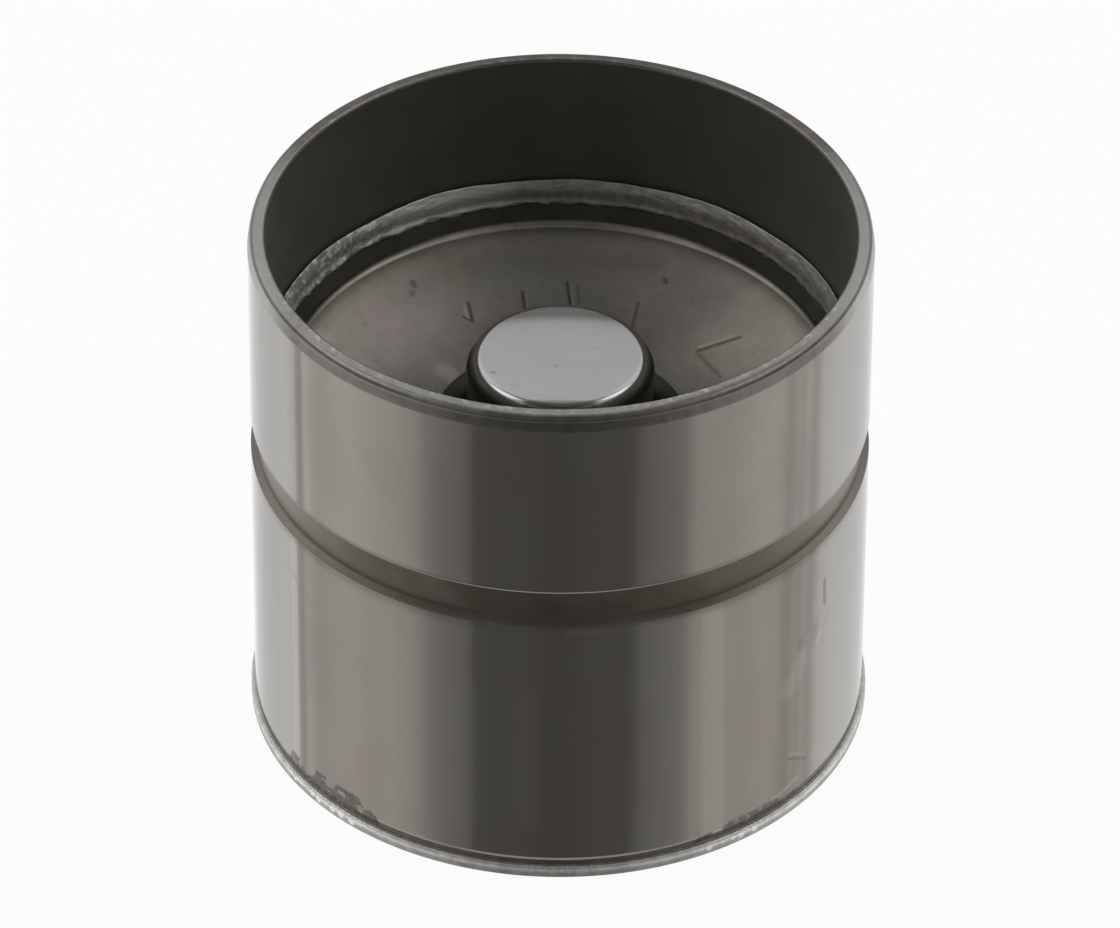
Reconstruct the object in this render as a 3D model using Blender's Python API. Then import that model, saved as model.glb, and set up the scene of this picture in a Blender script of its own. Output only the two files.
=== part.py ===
"""Hydraulic valve lifter of the bucket type, with every piece that it holds inside.

The lifter stands on its closed cam face with the open skirt up. Lengths are metres. The origin is
the centre of the cam face and +Z runs along the axis towards the open skirt.

Nearly every piece is turned or drawn, so each one is an outline in the (radius, height) half-plane
that is spun round the axis. Heights in the outlines are heights above the cam face.
"""

import math

import bmesh
import bpy
from mathutils import Vector

# Outer skirt
OUTER_DIAMETER = 0.035
HEIGHT = 0.0322
SKIRT_WALL = 0.001
RIM_CHAMFER_WIDTH = 0.00015
RIM_CHAMFER_HEIGHT = 0.0009
RIM_EDGE_BREAK = 0.00005
GROOVE_HEIGHT = 0.01894
GROOVE_WIDTH = 0.00223
GROOVE_DEPTH = 0.0004
GROOVE_WALL_RUN = 0.0002
OIL_HOLE_DIAMETER = 0.0015
OIL_HOLE_BEARING = 90.0

# Crown plate, brazed into the foot of the skirt
CROWN_THICKNESS = 0.0032
CROWN_LIP_HEIGHT = 0.00075
CROWN_LIP_OVERHANG = 0.00022
CROWN_EDGE_BREAK = 0.00015
CROWN_LAND_RADIUS = 0.0062
CROWN_RELIEF_DEPTH = 0.0006
CROWN_RELIEF_MARGIN = 0.0026
TRANSFER_CHANNEL_WIDTH = 0.0023
TRANSFER_CHANNEL_DEPTH = 0.0005

# Pressed guide cup, welded into the bore of the skirt
CUP_SHEET = 0.0011
DISH_RIM_HEIGHT = 0.0215
DISH_RIM_MARGIN = 0.00085
DISH_DROP = 0.0035
WELD_BEAD_HEIGHT = 0.0014
WELD_BEAD_WIDTH = 0.00036
CUP_FLANGE_HEIGHT = 0.00105
CUP_FOOT_ROUNDING = 0.0003
FUNNEL_ROUNDING = 0.0028
GUIDE_WALL = 0.0012

# Hydraulic element
ELEMENT_DIAMETER = 0.0106
ELEMENT_FACE_HEIGHT = 0.0236
ELEMENT_FACE_ROUNDING = 0.00064
ELEMENT_FLOOR = 0.0026
ELEMENT_STROKE = 0.003
BORE_ROUNDING = 0.0004
PLUNGER_DIAMETER = 0.008
PLUNGER_WALL = 0.0013
PLUNGER_FLOOR = 0.0016
LEAK_GROOVE_WIDTH = 0.0008
LEAK_GROOVE_DEPTH = 0.00025
LEAK_GROOVE_SETBACK = 0.004
RING_WIRE = 0.0008
RING_SETBACK = 0.0011
RING_OPENING = 24.0

# One-way valve
BALL_DIAMETER = 0.0036
BALL_LIFT = 0.00025
BALL_SIDE_PLAY = 0.00025
SEAT_CONE_INSIDE = 0.00012
SEAT_CONE_OUTSIDE = 0.0002
CAGE_SHEET = 0.00035
CAGE_FLANGE_MARGIN = 0.00025
CAGE_WINDOWS = 3
CAGE_WINDOW_WIDTH = 0.0015
CAGE_WINDOW_SILL = 0.0003

# Springs
RETURN_WIRE = 0.0008
RETURN_TURNS = 4.25
BALL_SPRING_WIRE = 0.00022
BALL_SPRING_RADIUS = 0.0008
BALL_SPRING_LENGTH = 0.0011
BALL_SPRING_TURNS = 3.0
CLOSED_TURNS = 0.8
CLOSED_TURN_GAP = 0.0001

# Clearances
SEAT_GAP = 0.00005
RUNNING_CLEARANCE = 0.00003
STROKE_CLEARANCE = 0.0004
CAGE_TOP_CLEARANCE = 0.0002
RING_SIDE_CLEARANCE = 0.00005

# Facets of the round pieces
BODY_SIDES = 60
ELEMENT_SIDES = 40
SMALL_SIDES = 28
HOLE_SIDES = 16
ARC_FACET = 0.0006
SMOOTH_BELOW = 32.0

# Radii that several pieces share
skirt_radius = OUTER_DIAMETER / 2
skirt_bore = skirt_radius - SKIRT_WALL
cup_radius = skirt_bore - SEAT_GAP
element_radius = ELEMENT_DIAMETER / 2
guide_bore = element_radius + RUNNING_CLEARANCE
plunger_radius = PLUNGER_DIAMETER / 2
element_bore = plunger_radius + RUNNING_CLEARANCE
ball_radius = BALL_DIAMETER / 2

# Heights that several pieces share, from the crown up
crown_top = CROWN_THICKNESS
plunger_foot = crown_top + SEAT_GAP
element_foot = crown_top + ELEMENT_STROKE + STROKE_CLEARANCE
ring_height = element_foot + RING_SETBACK
guide_foot = ring_height + RING_WIRE / 2 + SEAT_GAP
element_inner_floor = ELEMENT_FACE_HEIGHT - ELEMENT_FLOOR

# The ball rests on a 45 degree cone. It touches the cone at this radius.
ball_contact = ball_radius * math.sin(math.radians(45))
seat_mouth = ball_contact + SEAT_CONE_OUTSIDE
seat_hole = ball_contact - SEAT_CONE_INSIDE
ball_above_seat = 2 * ball_contact - seat_mouth + SEAT_GAP

# The cage: a wide room for the ball and above it a narrow pocket for the ball's spring
cage_room = ball_radius + BALL_SIDE_PLAY
cage_outside = cage_room + CAGE_SHEET
pocket_radius = BALL_SPRING_RADIUS + BALL_SPRING_WIRE / 2 + SEAT_GAP
shoulder_above_ball = math.sqrt(ball_radius**2 - pocket_radius**2) + BALL_LIFT + SEAT_GAP
spring_above_ball = math.sqrt(ball_radius**2 - BALL_SPRING_RADIUS**2) + BALL_SPRING_WIRE / 2
pocket_above_ball = spring_above_ball + BALL_SPRING_LENGTH
cage_above_plunger = ball_above_seat + pocket_above_ball + CAGE_SHEET

# The plunger is as long as the stroke leaves room for
cage_top = element_inner_floor - ELEMENT_STROKE - CAGE_TOP_CLEARANCE
plunger_top = cage_top - cage_above_plunger
ball_height = plunger_top + ball_above_seat
cage_foot = plunger_top + SEAT_GAP
cage_flange_top = cage_foot + CAGE_SHEET


def clear_scene():
    """Removes whatever the scene holds."""
    for thing in list(bpy.data.objects):
        bpy.data.objects.remove(thing)


def metal(name, colour, roughness, metallic=1.0):
    """A plain metal finish."""
    material = bpy.data.materials.new(name)
    material.use_nodes = True
    shader = material.node_tree.nodes["Principled BSDF"]
    shader.inputs["Base Color"].default_value = (*colour, 1.0)
    shader.inputs["Roughness"].default_value = roughness
    shader.inputs["Metallic"].default_value = metallic
    material.diffuse_color = (*colour, 1.0)
    return material


def carrier(name, height, parent=None):
    """An empty on the axis that carries the pieces that move together."""
    empty = bpy.data.objects.new(name, None)
    bpy.context.scene.collection.objects.link(empty)
    empty.empty_display_size = skirt_radius / 2
    place(empty, height, parent)
    return empty


def place(thing, height, parent=None):
    """Puts an object's origin on the axis at this height above the cam face."""
    base = 0.0
    if parent is not None:
        thing.parent = parent
        base = parent["height"]
    thing["height"] = height
    thing.location = (0.0, 0.0, height - base)


def rounded_outline(corners, fewest_facets):
    """The points of an outline whose corners are (radius, height, rounding).

    A rounded corner becomes an arc that is tangent to both of its sides. The arc is made smaller
    where a side is too short for it, and a long arc gets more facets.
    """
    points = []
    for index, (radius, height, rounding) in enumerate(corners):
        corner = Vector((radius, height))
        if rounding == 0:
            points.append(corner)
            continue
        before = Vector(corners[index - 1][:2]) - corner
        after = Vector(corners[(index + 1) % len(corners)][:2]) - corner
        half_angle = before.angle(after) / 2
        longest = 0.45 * min(before.length, after.length)
        reach = min(rounding / math.tan(half_angle), longest)
        middle = (before.normalized() + after.normalized()).normalized()
        centre = corner + middle * reach / math.cos(half_angle)
        first = corner + before.normalized() * reach - centre
        last = corner + after.normalized() * reach - centre
        start = math.atan2(first.y, first.x)
        sweep = math.remainder(math.atan2(last.y, last.x) - start, 2 * math.pi)
        steps = max(fewest_facets, math.ceil(abs(sweep) * first.length / ARC_FACET))
        for step in range(steps + 1):
            angle = start + sweep * step / steps
            points.append(centre + first.length * Vector((math.cos(angle), math.sin(angle))))
    return points


def link_mesh(name, bm, material):
    """Makes an object of a bmesh, smooth where the angle between two faces is small."""
    mesh = bpy.data.meshes.new(name)
    bm.to_mesh(mesh)
    bm.free()
    mesh.shade_smooth()
    mesh.set_sharp_from_angle(angle=math.radians(SMOOTH_BELOW))
    mesh.materials.append(material)
    thing = bpy.data.objects.new(name, mesh)
    bpy.context.scene.collection.objects.link(thing)
    return thing


def turned(name, corners, sides, base, parent, material, fewest_facets=3):
    """A turned piece: its outline spun round the axis, with its origin at the height base.

    An outline that starts and ends on the axis is closed there. Any other is a ring.
    """
    bm = bmesh.new()
    points = rounded_outline(corners, fewest_facets)
    ring = [bm.verts.new((point.x, 0.0, point.y - base)) for point in points]
    for first, second in zip(ring, ring[1:]):
        bm.edges.new((first, second))
    if corners[0][0] > 0:
        bm.edges.new((ring[-1], ring[0]))
    bmesh.ops.spin(
        bm,
        geom=bm.verts[:] + bm.edges[:],
        cent=(0.0, 0.0, 0.0),
        axis=(0.0, 0.0, 1.0),
        angle=2 * math.pi,
        steps=sides,
        use_merge=True,
    )
    bmesh.ops.remove_doubles(bm, verts=bm.verts[:], dist=1e-7)
    bmesh.ops.recalc_face_normals(bm, faces=bm.faces[:])
    thing = link_mesh(name, bm, material)
    place(thing, base, parent)
    return thing


def cut(thing, cutter):
    """Subtracts a hidden cutter from a piece."""
    cutter.hide_render = True
    cutter.display_type = "WIRE"
    modifier = thing.modifiers.new("cut_" + cutter.name, "BOOLEAN")
    modifier.operation = "DIFFERENCE"
    modifier.object = cutter


def round_cutter(name, radius, length, location, rotation):
    """A cylinder that cuts a hole or a round-bottomed channel."""
    bm = bmesh.new()
    bmesh.ops.create_cone(
        bm,
        cap_ends=True,
        segments=HOLE_SIDES,
        radius1=radius,
        radius2=radius,
        depth=length,
    )
    cutter = link_mesh(name, bm, bpy.data.materials["oil_dark_steel"])
    cutter.location = location
    cutter.rotation_euler = rotation
    return cutter


def box_cutter(name, size, location, turn):
    """A box that cuts a window."""
    bm = bmesh.new()
    bmesh.ops.create_cube(bm, size=1.0)
    bmesh.ops.scale(bm, vec=size, verts=bm.verts[:])
    cutter = link_mesh(name, bm, bpy.data.materials["oil_dark_steel"])
    cutter.location = location
    cutter.rotation_euler = (0.0, 0.0, turn)
    return cutter


def wire(name, points, thickness, resolution, base, parent, material):
    """A piece bent from round wire along these points."""
    curve = bpy.data.curves.new(name, "CURVE")
    curve.dimensions = "3D"
    curve.bevel_depth = thickness / 2
    curve.bevel_resolution = resolution
    curve.use_fill_caps = True
    spline = curve.splines.new("POLY")
    spline.points.add(len(points) - 1)
    for target, (x, y, z) in zip(spline.points, points):
        target.co = (x, y, z - base, 1.0)
    curve.materials.append(material)
    thing = bpy.data.objects.new(name, curve)
    bpy.context.scene.collection.objects.link(thing)
    place(thing, base, parent)
    return thing


def coil(radius, bottom, top, turns, thickness, steps_per_turn):
    """The centre line of a compression spring: close end turns and an even pitch between them."""
    low = bottom + thickness / 2
    high = top - thickness / 2
    closed_pitch = thickness + CLOSED_TURN_GAP
    closed_rise = CLOSED_TURNS * closed_pitch
    open_pitch = (high - low - 2 * closed_rise) / (turns - 2 * CLOSED_TURNS)
    count = round(turns * steps_per_turn)
    points = []
    for step in range(count + 1):
        turn = turns * step / count
        rise = closed_pitch * min(turn, CLOSED_TURNS)
        rise += open_pitch * min(max(turn - CLOSED_TURNS, 0.0), turns - 2 * CLOSED_TURNS)
        rise += closed_pitch * max(turn - (turns - CLOSED_TURNS), 0.0)
        angle = 2 * math.pi * turn
        points.append((radius * math.cos(angle), radius * math.sin(angle), low + rise))
    return points


def make_skirt(parent, material):
    """The ground outer skirt with its oil groove, its chamfered rim and its oil feed hole."""
    foot = CROWN_LIP_HEIGHT + SEAT_GAP
    groove_low = GROOVE_HEIGHT - GROOVE_WIDTH / 2
    groove_high = GROOVE_HEIGHT + GROOVE_WIDTH / 2
    groove_floor = skirt_radius - GROOVE_DEPTH
    rim_outside = skirt_radius - RIM_CHAMFER_WIDTH
    corners = [
        (skirt_bore + RIM_EDGE_BREAK, foot, 0),
        (skirt_radius - RIM_EDGE_BREAK, foot, 0),
        (skirt_radius, foot + RIM_EDGE_BREAK, 0),
        (skirt_radius, groove_low, 0),
        (groove_floor, groove_low + GROOVE_WALL_RUN, GROOVE_WALL_RUN),
        (groove_floor, groove_high - GROOVE_WALL_RUN, GROOVE_WALL_RUN),
        (skirt_radius, groove_high, 0),
        (skirt_radius, HEIGHT - RIM_CHAMFER_HEIGHT, 0),
        (rim_outside, HEIGHT - RIM_EDGE_BREAK, 0),
        (rim_outside - RIM_EDGE_BREAK, HEIGHT, 0),
        (skirt_bore + RIM_EDGE_BREAK, HEIGHT, 0),
        (skirt_bore, HEIGHT - RIM_EDGE_BREAK, 0),
        (skirt_bore, foot + RIM_EDGE_BREAK, 0),
    ]
    skirt = turned("bucket_shell", corners, BODY_SIDES, foot, parent, material)
    bearing = math.radians(OIL_HOLE_BEARING)
    middle = skirt_radius - SKIRT_WALL / 2
    hole = round_cutter(
        "oil_hole_cutter",
        OIL_HOLE_DIAMETER / 2,
        3 * SKIRT_WALL,
        (middle * math.cos(bearing), middle * math.sin(bearing), GROOVE_HEIGHT),
        (0.0, math.radians(90), bearing),
    )
    cut(skirt, hole)
    return skirt


def make_crown(parent, material):
    """The crown plate: a proud edge outside, a spigot in the skirt and an oil channel inside."""
    edge = skirt_radius + CROWN_LIP_OVERHANG
    spigot = cup_radius
    relief_floor = crown_top - CROWN_RELIEF_DEPTH
    relief_outside = spigot - CROWN_RELIEF_MARGIN
    corners = [
        (0.0, 0.0, 0),
        (edge - CROWN_EDGE_BREAK, 0.0, 0),
        (edge, CROWN_EDGE_BREAK, 0),
        (edge, CROWN_LIP_HEIGHT - RIM_EDGE_BREAK, 0),
        (edge - RIM_EDGE_BREAK, CROWN_LIP_HEIGHT, 0),
        (spigot, CROWN_LIP_HEIGHT, 0),
        (spigot, crown_top - CROWN_EDGE_BREAK, 0),
        (spigot - CROWN_EDGE_BREAK, crown_top, 0),
        (relief_outside + CROWN_RELIEF_DEPTH, crown_top, 0),
        (relief_outside, relief_floor, 0),
        (CROWN_LAND_RADIUS + CROWN_RELIEF_DEPTH, relief_floor, 0),
        (CROWN_LAND_RADIUS, crown_top, 0),
        (0.0, crown_top, 0),
    ]
    crown = turned("crown_plate", corners, BODY_SIDES, 0.0, parent, material)
    half_width = TRANSFER_CHANNEL_WIDTH / 2
    radius = (half_width**2 + TRANSFER_CHANNEL_DEPTH**2) / (2 * TRANSFER_CHANNEL_DEPTH)
    channel = round_cutter(
        "transfer_channel_cutter",
        radius,
        2 * (CROWN_LAND_RADIUS + CROWN_RELIEF_DEPTH),
        (0.0, 0.0, crown_top - TRANSFER_CHANNEL_DEPTH + radius),
        (0.0, math.radians(90), 0.0),
    )
    cut(crown, channel)
    return crown


def make_guide_cup(parent, material):
    """The pressed cup: weld bead, turned-up edge, dish, rounded funnel and guide tube."""
    dish_outside = cup_radius - DISH_RIM_MARGIN
    slope = DISH_DROP / (dish_outside - guide_bore)
    below = CUP_SHEET * math.hypot(1.0, slope)
    guide_outside = guide_bore + GUIDE_WALL
    flange_top = DISH_RIM_HEIGHT + CUP_FLANGE_HEIGHT

    def dish_height(radius):
        return DISH_RIM_HEIGHT - slope * (dish_outside - radius)

    corners = [
        (cup_radius, flange_top + WELD_BEAD_HEIGHT, 0),
        (cup_radius - WELD_BEAD_WIDTH, flange_top, CUP_FOOT_ROUNDING),
        (dish_outside, DISH_RIM_HEIGHT, CUP_FOOT_ROUNDING),
        (guide_bore, dish_height(guide_bore), FUNNEL_ROUNDING),
        (guide_bore, guide_foot, RING_SIDE_CLEARANCE),
        (guide_outside, guide_foot, CUP_FOOT_ROUNDING),
        (guide_outside, dish_height(guide_outside) - below, FUNNEL_ROUNDING - CUP_SHEET),
        (cup_radius, dish_height(cup_radius) - below, CUP_SHEET + CUP_FOOT_ROUNDING),
    ]
    return turned("guide_cup", corners, BODY_SIDES, guide_foot, parent, material)


def make_element_cylinder(parent, material):
    """The closed cylinder of the element, with the groove of its retaining ring."""
    groove_floor = element_radius - RING_WIRE / 2 - RING_SIDE_CLEARANCE
    groove_half = RING_WIRE / 2 + RING_SIDE_CLEARANCE
    corners = [
        (0.0, ELEMENT_FACE_HEIGHT, 0),
        (element_radius, ELEMENT_FACE_HEIGHT, ELEMENT_FACE_ROUNDING),
        (element_radius, ring_height + groove_half, 0),
        (groove_floor, ring_height + groove_half, 0),
        (groove_floor, ring_height - groove_half, 0),
        (element_radius, ring_height - groove_half, 0),
        (element_radius, element_foot, BORE_ROUNDING),
        (element_bore, element_foot, BORE_ROUNDING),
        (element_bore, element_inner_floor, BORE_ROUNDING),
        (0.0, element_inner_floor, 0),
    ]
    return turned("element_cylinder", corners, ELEMENT_SIDES, element_foot, parent, material)


def make_plunger(parent, material):
    """The hollow plunger: open at the crown, with the seat of the check ball on top."""
    inside = plunger_radius - PLUNGER_WALL
    floor = plunger_top - PLUNGER_FLOOR
    seat_depth = seat_mouth - seat_hole
    leak_high = plunger_top - LEAK_GROOVE_SETBACK
    leak_low = leak_high - LEAK_GROOVE_WIDTH
    corners = [
        (seat_mouth, plunger_top, 0),
        (plunger_radius, plunger_top, BORE_ROUNDING),
        (plunger_radius, leak_high, 0),
        (plunger_radius - LEAK_GROOVE_DEPTH, leak_high - LEAK_GROOVE_DEPTH, 0),
        (plunger_radius - LEAK_GROOVE_DEPTH, leak_low + LEAK_GROOVE_DEPTH, 0),
        (plunger_radius, leak_low, 0),
        (plunger_radius, plunger_foot, BORE_ROUNDING),
        (inside, plunger_foot, BORE_ROUNDING),
        (inside, floor, BORE_ROUNDING),
        (seat_hole, floor, 0),
        (seat_hole, plunger_top - seat_depth, 0),
    ]
    return turned("plunger", corners, ELEMENT_SIDES, plunger_foot, parent, material, fewest_facets=2)


def make_cage(parent, material):
    """The pressed cap over the ball, with its windows for the oil."""
    flange = plunger_radius - CAGE_FLANGE_MARGIN
    shoulder = ball_height + shoulder_above_ball
    ceiling = ball_height + pocket_above_ball
    corners = [
        (0.0, cage_top, 0),
        (pocket_radius + CAGE_SHEET, cage_top, CAGE_SHEET),
        (pocket_radius + CAGE_SHEET, shoulder + CAGE_SHEET, 0),
        (cage_outside, shoulder + CAGE_SHEET, CAGE_SHEET),
        (cage_outside, cage_flange_top, 0),
        (flange, cage_flange_top, 0),
        (flange, cage_foot, 0),
        (cage_room, cage_foot, 0),
        (cage_room, shoulder, 0),
        (pocket_radius, shoulder, 0),
        (pocket_radius, ceiling, 0),
        (0.0, ceiling, 0),
    ]
    cage = turned("ball_cage", corners, SMALL_SIDES, cage_foot, parent, material, fewest_facets=2)
    sill = cage_flange_top + CAGE_WINDOW_SILL
    lintel = shoulder - CAGE_WINDOW_SILL
    middle = cage_room + CAGE_SHEET / 2
    for index in range(CAGE_WINDOWS):
        turn = 2 * math.pi * index / CAGE_WINDOWS
        window = box_cutter(
            f"cage_window_cutter_{index + 1}",
            (3 * CAGE_SHEET, CAGE_WINDOW_WIDTH, lintel - sill),
            (middle * math.cos(turn), middle * math.sin(turn), (sill + lintel) / 2),
            turn,
        )
        cut(cage, window)
    return cage


def make_check_ball(parent, material):
    """The ball of the one-way valve."""
    bm = bmesh.new()
    bmesh.ops.create_uvsphere(bm, u_segments=20, v_segments=12, radius=ball_radius)
    ball = link_mesh("check_ball", bm, material)
    place(ball, ball_height, parent)
    return ball


def make_ball_spring(parent, material):
    """The weak spring between the ball and the roof of its cage."""
    bottom = ball_height + spring_above_ball - BALL_SPRING_WIRE / 2 + SEAT_GAP
    top = ball_height + pocket_above_ball - SEAT_GAP
    points = coil(BALL_SPRING_RADIUS, bottom, top, BALL_SPRING_TURNS, BALL_SPRING_WIRE, 14)
    return wire("ball_spring", points, BALL_SPRING_WIRE, 1, bottom, parent, material)


def make_return_spring(parent, material):
    """The spring round the cage, between its flange and the floor of the cylinder."""
    bottom = cage_flange_top + SEAT_GAP
    top = element_inner_floor - SEAT_GAP
    radius = (cage_outside + element_bore) / 2
    points = coil(radius, bottom, top, RETURN_TURNS, RETURN_WIRE, 20)
    return wire("return_spring", points, RETURN_WIRE, 2, bottom, parent, material)


def make_retaining_ring(parent, material):
    """The open ring of round wire in the groove of the cylinder."""
    opening = math.radians(RING_OPENING)
    steps = 32
    points = []
    for step in range(steps + 1):
        angle = opening / 2 + (2 * math.pi - opening) * step / steps
        x = element_radius * math.cos(angle)
        y = element_radius * math.sin(angle)
        points.append((x, y, ring_height))
    return wire("retaining_ring", points, RING_WIRE, 2, ring_height, parent, material)


def build():
    """Makes the finishes and every piece, each under the carrier that it moves with."""
    clear_scene()
    ground = metal("ground_steel", (0.30, 0.28, 0.25), 0.18)
    hard = metal("crown_steel", (0.34, 0.32, 0.29), 0.25)
    pressed = metal("pressed_steel", (0.20, 0.18, 0.155), 0.38)
    lapped = metal("lapped_steel", (0.58, 0.56, 0.53), 0.16)
    bright = metal("bright_spring_wire", (0.45, 0.44, 0.42), 0.3)
    chrome = metal("ball_steel", (0.7, 0.7, 0.7), 0.06)
    metal("oil_dark_steel", (0.05, 0.05, 0.045), 0.5)

    bucket = carrier("bucket_carrier", 0.0)
    element = carrier("element_carrier", element_foot, bucket)
    ball = carrier("ball_carrier", ball_height, bucket)

    make_skirt(bucket, ground)
    make_crown(bucket, hard)
    make_guide_cup(bucket, pressed)
    make_plunger(bucket, lapped)
    make_cage(bucket, pressed)
    make_return_spring(bucket, bright)
    make_ball_spring(bucket, bright)
    make_element_cylinder(element, lapped)
    make_retaining_ring(element, bright)
    make_check_ball(ball, chrome)


build()
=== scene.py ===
# %% [markdown]
# # A hydraulic valve lifter
# This lifter is a small steel bucket that sits between a cam and a valve. It is 35 mm across.
# Its ground skirt runs in the cylinder head. Inside hang a pressed guide cup and a hydraulic
# element, whose bright round end presses on the valve stem.
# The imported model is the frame: every piece below takes its sizes from it and stays on it.

# %% Load the frame
import math

import bpy
import numpy as np
from mathutils import Matrix, Vector


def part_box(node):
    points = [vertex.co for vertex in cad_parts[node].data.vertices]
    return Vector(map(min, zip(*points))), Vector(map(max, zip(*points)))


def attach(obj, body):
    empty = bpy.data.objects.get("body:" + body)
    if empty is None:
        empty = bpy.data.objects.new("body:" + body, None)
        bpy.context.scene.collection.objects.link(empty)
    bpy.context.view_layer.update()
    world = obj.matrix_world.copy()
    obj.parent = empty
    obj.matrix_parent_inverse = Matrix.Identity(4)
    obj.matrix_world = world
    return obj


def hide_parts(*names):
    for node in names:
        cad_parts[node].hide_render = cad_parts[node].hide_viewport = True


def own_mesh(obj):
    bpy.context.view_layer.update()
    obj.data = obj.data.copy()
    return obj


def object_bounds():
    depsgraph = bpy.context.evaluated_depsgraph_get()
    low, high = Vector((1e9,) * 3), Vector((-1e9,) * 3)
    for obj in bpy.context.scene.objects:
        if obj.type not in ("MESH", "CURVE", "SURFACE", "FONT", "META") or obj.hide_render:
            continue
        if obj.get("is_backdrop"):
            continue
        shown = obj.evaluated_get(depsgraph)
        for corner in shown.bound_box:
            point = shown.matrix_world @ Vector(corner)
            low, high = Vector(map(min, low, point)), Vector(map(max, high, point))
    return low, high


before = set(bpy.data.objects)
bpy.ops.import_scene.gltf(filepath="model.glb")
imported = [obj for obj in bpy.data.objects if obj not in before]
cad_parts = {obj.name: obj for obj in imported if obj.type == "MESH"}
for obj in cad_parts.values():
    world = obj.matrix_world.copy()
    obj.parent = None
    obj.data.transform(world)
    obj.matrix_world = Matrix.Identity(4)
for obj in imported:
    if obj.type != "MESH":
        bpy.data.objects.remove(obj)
cad_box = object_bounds()
MM = 0.001
size_in_mm = [round((high - low) / MM, 2) for low, high in zip(*cad_box)]
print("the frame holds", len(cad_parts), "nodes and measures", size_in_mm, "mm")

# %% [markdown]
# ## The camera
# The picture was taken with a long lens from about 37 degrees above the table. A long lens far
# away draws the rim and the foot with almost the same curve, as it does here. The camera is
# turned by a third of a degree about its own axis, because the picture leans by that much.

# %% Place the camera
CAMERA_ELEVATION = math.radians(37.35)
CAMERA_DISTANCE = 524.5 * MM
CAMERA_ROLL = math.radians(0.357)
CAMERA_LENS = 296.95
AIM = Vector((0.014 * MM, 0.0, 15.75 * MM))

lens = bpy.data.cameras.new("picture_camera")
lens.sensor_width = 36.0
lens.lens = CAMERA_LENS
lens.clip_start = 10 * MM
lens.clip_end = 20.0
camera = bpy.data.objects.new("picture_camera", lens)
bpy.context.scene.collection.objects.link(camera)
back = Vector((0.0, -math.cos(CAMERA_ELEVATION), math.sin(CAMERA_ELEVATION)))
tilt = Matrix.Rotation(math.pi / 2 - CAMERA_ELEVATION, 4, "X")
roll = Matrix.Rotation(CAMERA_ROLL, 4, "Z")
camera.matrix_world = Matrix.Translation(AIM + CAMERA_DISTANCE * back) @ tilt @ roll
bpy.context.scene.camera = camera
bpy.context.scene.view_settings.view_transform = "Standard"
print("the camera looks down from", round(camera.location.z / MM), "mm")

# %% [markdown]
# ## Node trees in short
# Every finish and the light are node trees. This small class has one method for each kind of
# node that they use, so that a finish reads as a few lines of arithmetic on whole surfaces.

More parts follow.
